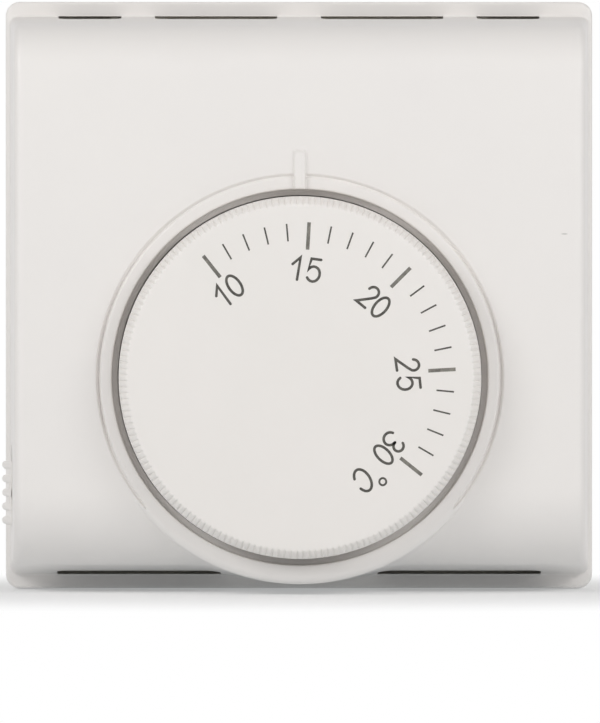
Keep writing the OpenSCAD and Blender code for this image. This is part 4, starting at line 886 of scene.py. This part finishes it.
def addMark(material, centre, halfSize, colour):
    # lays a small mark over a plastic's colour: an ellipsoid round a point, both in drawing mm, with a soft edge
    tree, shader, place, before = colouredBy(material)
    (x, y, z), (hx, hy, hz) = centre, halfSize
    near = addNode(tree, "Mapping", links={"Vector": place}, Location=(-x / hx, z / hz, -y / hy),
                   Scale=(1 / (hx * mm), 1 / (hz * mm), 1 / (hy * mm)))
    away = addNode(tree, "VectorMath", {"operation": "LENGTH"}, {"Vector": near})
    mask = addNode(tree, "MapRange", links={"Value": away}, From_Min=0.6, To_Min=1.0, To_Max=0.0)
    mark = addNode(tree, "Mix", {"data_type": "RGBA"}, {"Factor": mask, "A": before}, B=linear(colour))
    tree.links.new(mark.outputs["Result"], shader.inputs["Base Color"])


addMark(finishes["cover_moulding"], (36.7, 8.5, 30.0), (0.55, 0.1, 2.0), "#BDBAB5")  # faint scuff right of the dial
addMark(finishes["dial_moulding"], (24.3, -7.43, 34.7), (0.14, 0.14, 0.6), "#8B8878")  # speck on the serrated edge

# mm; where each painted ring of the resistor stands in x
resistor = {"rings": ((-16.6, "#4A2C1C"), (-15.5, "#1B1A1A"), (-14.4, "#C8641E"), (-13.0, "#B9A24A")), "half": 0.25}


def lacquer(c):
    # wound resistor dipped in ochre lacquer: glossy, with the painted rings that give its value
    material = plastic("lacquer ochre, dipped", "#C9AE7E", "#BD9F6C", 2.0, (0.14, 0.24), 0.5, 0.006, 1.5, 1.5, 0.03)
    tree, shader, place, before = colouredBy(material)
    along = addNode(tree, "SeparateXYZ", links={"Vector": place})
    for x, colour in c["rings"]:
        on = addNode(tree, "Math", {"operation": "COMPARE"}, {0: along})
        on.inputs[1].default_value, on.inputs[2].default_value = x * mm, c["half"] * mm
        ring = addNode(tree, "Mix", {"data_type": "RGBA"}, {"Factor": on, "A": before}, B=linear(colour))
        before = ring.outputs["Result"]
    tree.links.new(before, shader.inputs["Base Color"])
    return material


def padInk(name, colour, thinned):
    # pad printed ink: warm grey, matt, a little thinner in places
    material, tree = newMaterial(name)
    place = addNode(tree, "TexCoord").outputs["Object"]
    noise = addNode(tree, "TexNoise", links={"Vector": place}, Scale=perMetre(0.9), Detail=3.0)
    thin = addNode(tree, "MapRange", links={"Value": noise}, From_Min=0.35, From_Max=0.65)
    tint = addNode(tree, "Mix", {"data_type": "RGBA"}, {"Factor": thin}, A=linear(colour), B=linear(thinned))
    shader = addNode(tree, "BsdfPrincipled", links={"Base Color": tint}, Roughness=0.5)
    addNode(tree, "OutputMaterial", links={"Surface": shader})
    return material


finishes["resistor_lacquer"] = lacquer(resistor)
outer = [(coverPiece, "cover_moulding"), (dialPiece, "dial_moulding"), (gripPiece, "dial_moulding"),
         (springPiece, "spring_steel")]
for piece, slotName in outer + inner:
    piece.data.materials.append(finishes[slotName])
darkInk = padInk("ink dark grey, pad printed", "#3E3B36", "#5C5952")
for piece in (shortTicks, figurePiece):
    piece.data.materials.append(darkInk)
# the wide bars took less ink
longTicks.data.materials.append(padInk("ink dark grey, pad printed thin", "#605D57", "#858178"))
for name, slotName in (("wire_live", "brown_pvc"), ("wire_link", "black_pvc"), ("wire_load", "red_pvc"),
                       ("heater_leads", "tinned_copper")):
    for materialSlot in nodes[name].material_slots:
        materialSlot.link = "OBJECT"
        materialSlot.material = finishes[slotName]
print("materials given")

# metres; at rimPlane the cover is widthPixels wide in a picture of height pixels, and the sensor is in mm
view = {"distance": 1.1, "rimPlane": 0.008, "widthPixels": 586.5, "width": 0.083, "height": 723, "sensor": 36,
        "side": -0.006, "aimDown": 0.00945, "aimSide": 0.00618}
camera = bpy.data.cameras.new("camera")
focal = view["widthPixels"] / view["width"] * (view["distance"] - view["rimPlane"])
camera.sensor_width = view["sensor"]
camera.lens = focal / view["height"] * view["sensor"]
cameraObject = bpy.data.objects.new("camera", camera)
scene.collection.objects.link(cameraObject)
cameraObject.location = (view["side"], -view["distance"], 0)
look = Vector((view["aimSide"], view["distance"], -view["aimDown"]))
cameraObject.rotation_euler = look.to_track_quat("-Z", "Y").to_euler()
scene.camera = cameraObject
scene.view_settings.view_transform = "Standard"

# metres; the tent is brighter upwards, the glow is the floor's own light on the object, the fade is round its shadow
studio = {
    "floorZ": -0.04165, "floorSize": 6.0, "card": (0.9, 0.9, 0.9, 1), "glow": 0.17, "glowColour": "#EFF9FF",
    "fadeShift": (0, 0.2, 0), "fadeScale": (8, 13, 0), "fadeFrom": 0.3, "fadeLow": 0.25,
    "tentLow": 0.26, "tentHigh": 0.46, "tentFrom": -0.2, "tentTo": 0.8, "aim": (0, -0.02, 0),
}
# place, size and strength of each softbox
lamps = {
    "leftBox": ((-0.265, -0.277, 0.153), (0.15, 0.15), 0.31),
    "rightBox": ((0.173, -0.366, 0.1), (0.15, 0.15), 0.09),
    "sideBox": ((0.265, -0.277, 0.153), (0.15, 0.15), 0.215),
    "backBox": ((0.05, 0.9, -0.01), (0.1, 0.05), 0.3),
}


def softBox(name, place, aim, size, strength):
    # strength is the light it would give on its own to a surface facing it, 1 being full white
    light = bpy.data.lights.new(name, "AREA")
    light.shape = "RECTANGLE"
    light.size, light.size_y = size
    place, aim = Vector(place), Vector(aim)
    light.energy = strength * math.pi * math.pi * (place - aim).length ** 2
    obj = bpy.data.objects.new(name, light)
    scene.collection.objects.link(obj)
    obj.location = place
    obj.rotation_euler = (aim - place).to_track_quat("-Z", "Y").to_euler()


def seenDirectly(tree):
    # 1 for what the camera sees, also mirrored or through glass, and 0 for light on its way to the object
    path = addNode(tree, "LightPath").outputs
    seen = path["Is Camera Ray"]
    for ray in ("Is Glossy Ray", "Is Transmission Ray"):
        seen = addNode(tree, "Math", {"operation": "MAXIMUM"}, {0: seen, 1: path[ray]}).outputs[0]
    return seen


for name, (place, size, strength) in lamps.items():
    softBox(name, place, studio["aim"], size, strength)

# white tent round the object; the camera, and what mirrors it, see plain white
world = bpy.data.worlds.new("studio")
scene.world = world
world.use_nodes = True
tree = world.node_tree
tree.nodes.clear()
up = addNode(tree, "SeparateXYZ", links={"Vector": addNode(tree, "TexCoord").outputs["Generated"]})
fall = addNode(tree, "MapRange", links={"Value": up.outputs["Z"]}, From_Min=studio["tentFrom"],
               From_Max=studio["tentTo"], To_Min=studio["tentLow"], To_Max=studio["tentHigh"])
tent = addNode(tree, "Background", links={"Strength": fall}, Color=(1, 1, 1, 1))
white = addNode(tree, "Background", Color=(1, 1, 1, 1), Strength=1.0)
mix = addNode(tree, "MixShader", links={0: seenDirectly(tree), 1: tent, 2: white})
addNode(tree, "OutputWorld", links={"Surface": mix})

far, low = studio["floorSize"] / mm, studio["floorZ"] / mm
floor = newObject("floor", [(-far, low, -far), (far, low, -far), (far, low, far), (-far, low, far)], [(0, 1, 2, 3)])
# matt white card: full white away from the object, and near it the card itself, which takes the shadow
card, tree = newMaterial("card white, matt")
seen = seenDirectly(tree)
position = addNode(tree, "NewGeometry")
shifted = addNode(tree, "Mapping", links={"Vector": position}, Location=studio["fadeShift"], Scale=studio["fadeScale"])
away = addNode(tree, "VectorMath", {"operation": "LENGTH"}, {"Vector": shifted})
fade = addNode(tree, "MapRange", {"interpolation_type": "SMOOTHSTEP"}, {"Value": away},
               From_Min=studio["fadeFrom"], From_Max=1.0, To_Min=studio["fadeLow"], To_Max=1.0)
share = addNode(tree, "Mix", {"data_type": "FLOAT"}, {"Factor": seen, "B": fade}, A=studio["glow"])
matt = addNode(tree, "BsdfDiffuse", Color=studio["card"])
whole = addNode(tree, "Mix", {"data_type": "RGBA"}, {"Factor": seen}, A=linear(studio["glowColour"]), B=(1, 1, 1, 1))
glow = addNode(tree, "Emission", links={"Color": whole}, Strength=1.0)
mix = addNode(tree, "MixShader", links={0: share, 1: matt, 2: glow})
addNode(tree, "OutputMaterial", links={"Surface": mix})
floor.data.materials.append(card)
print("studio built")
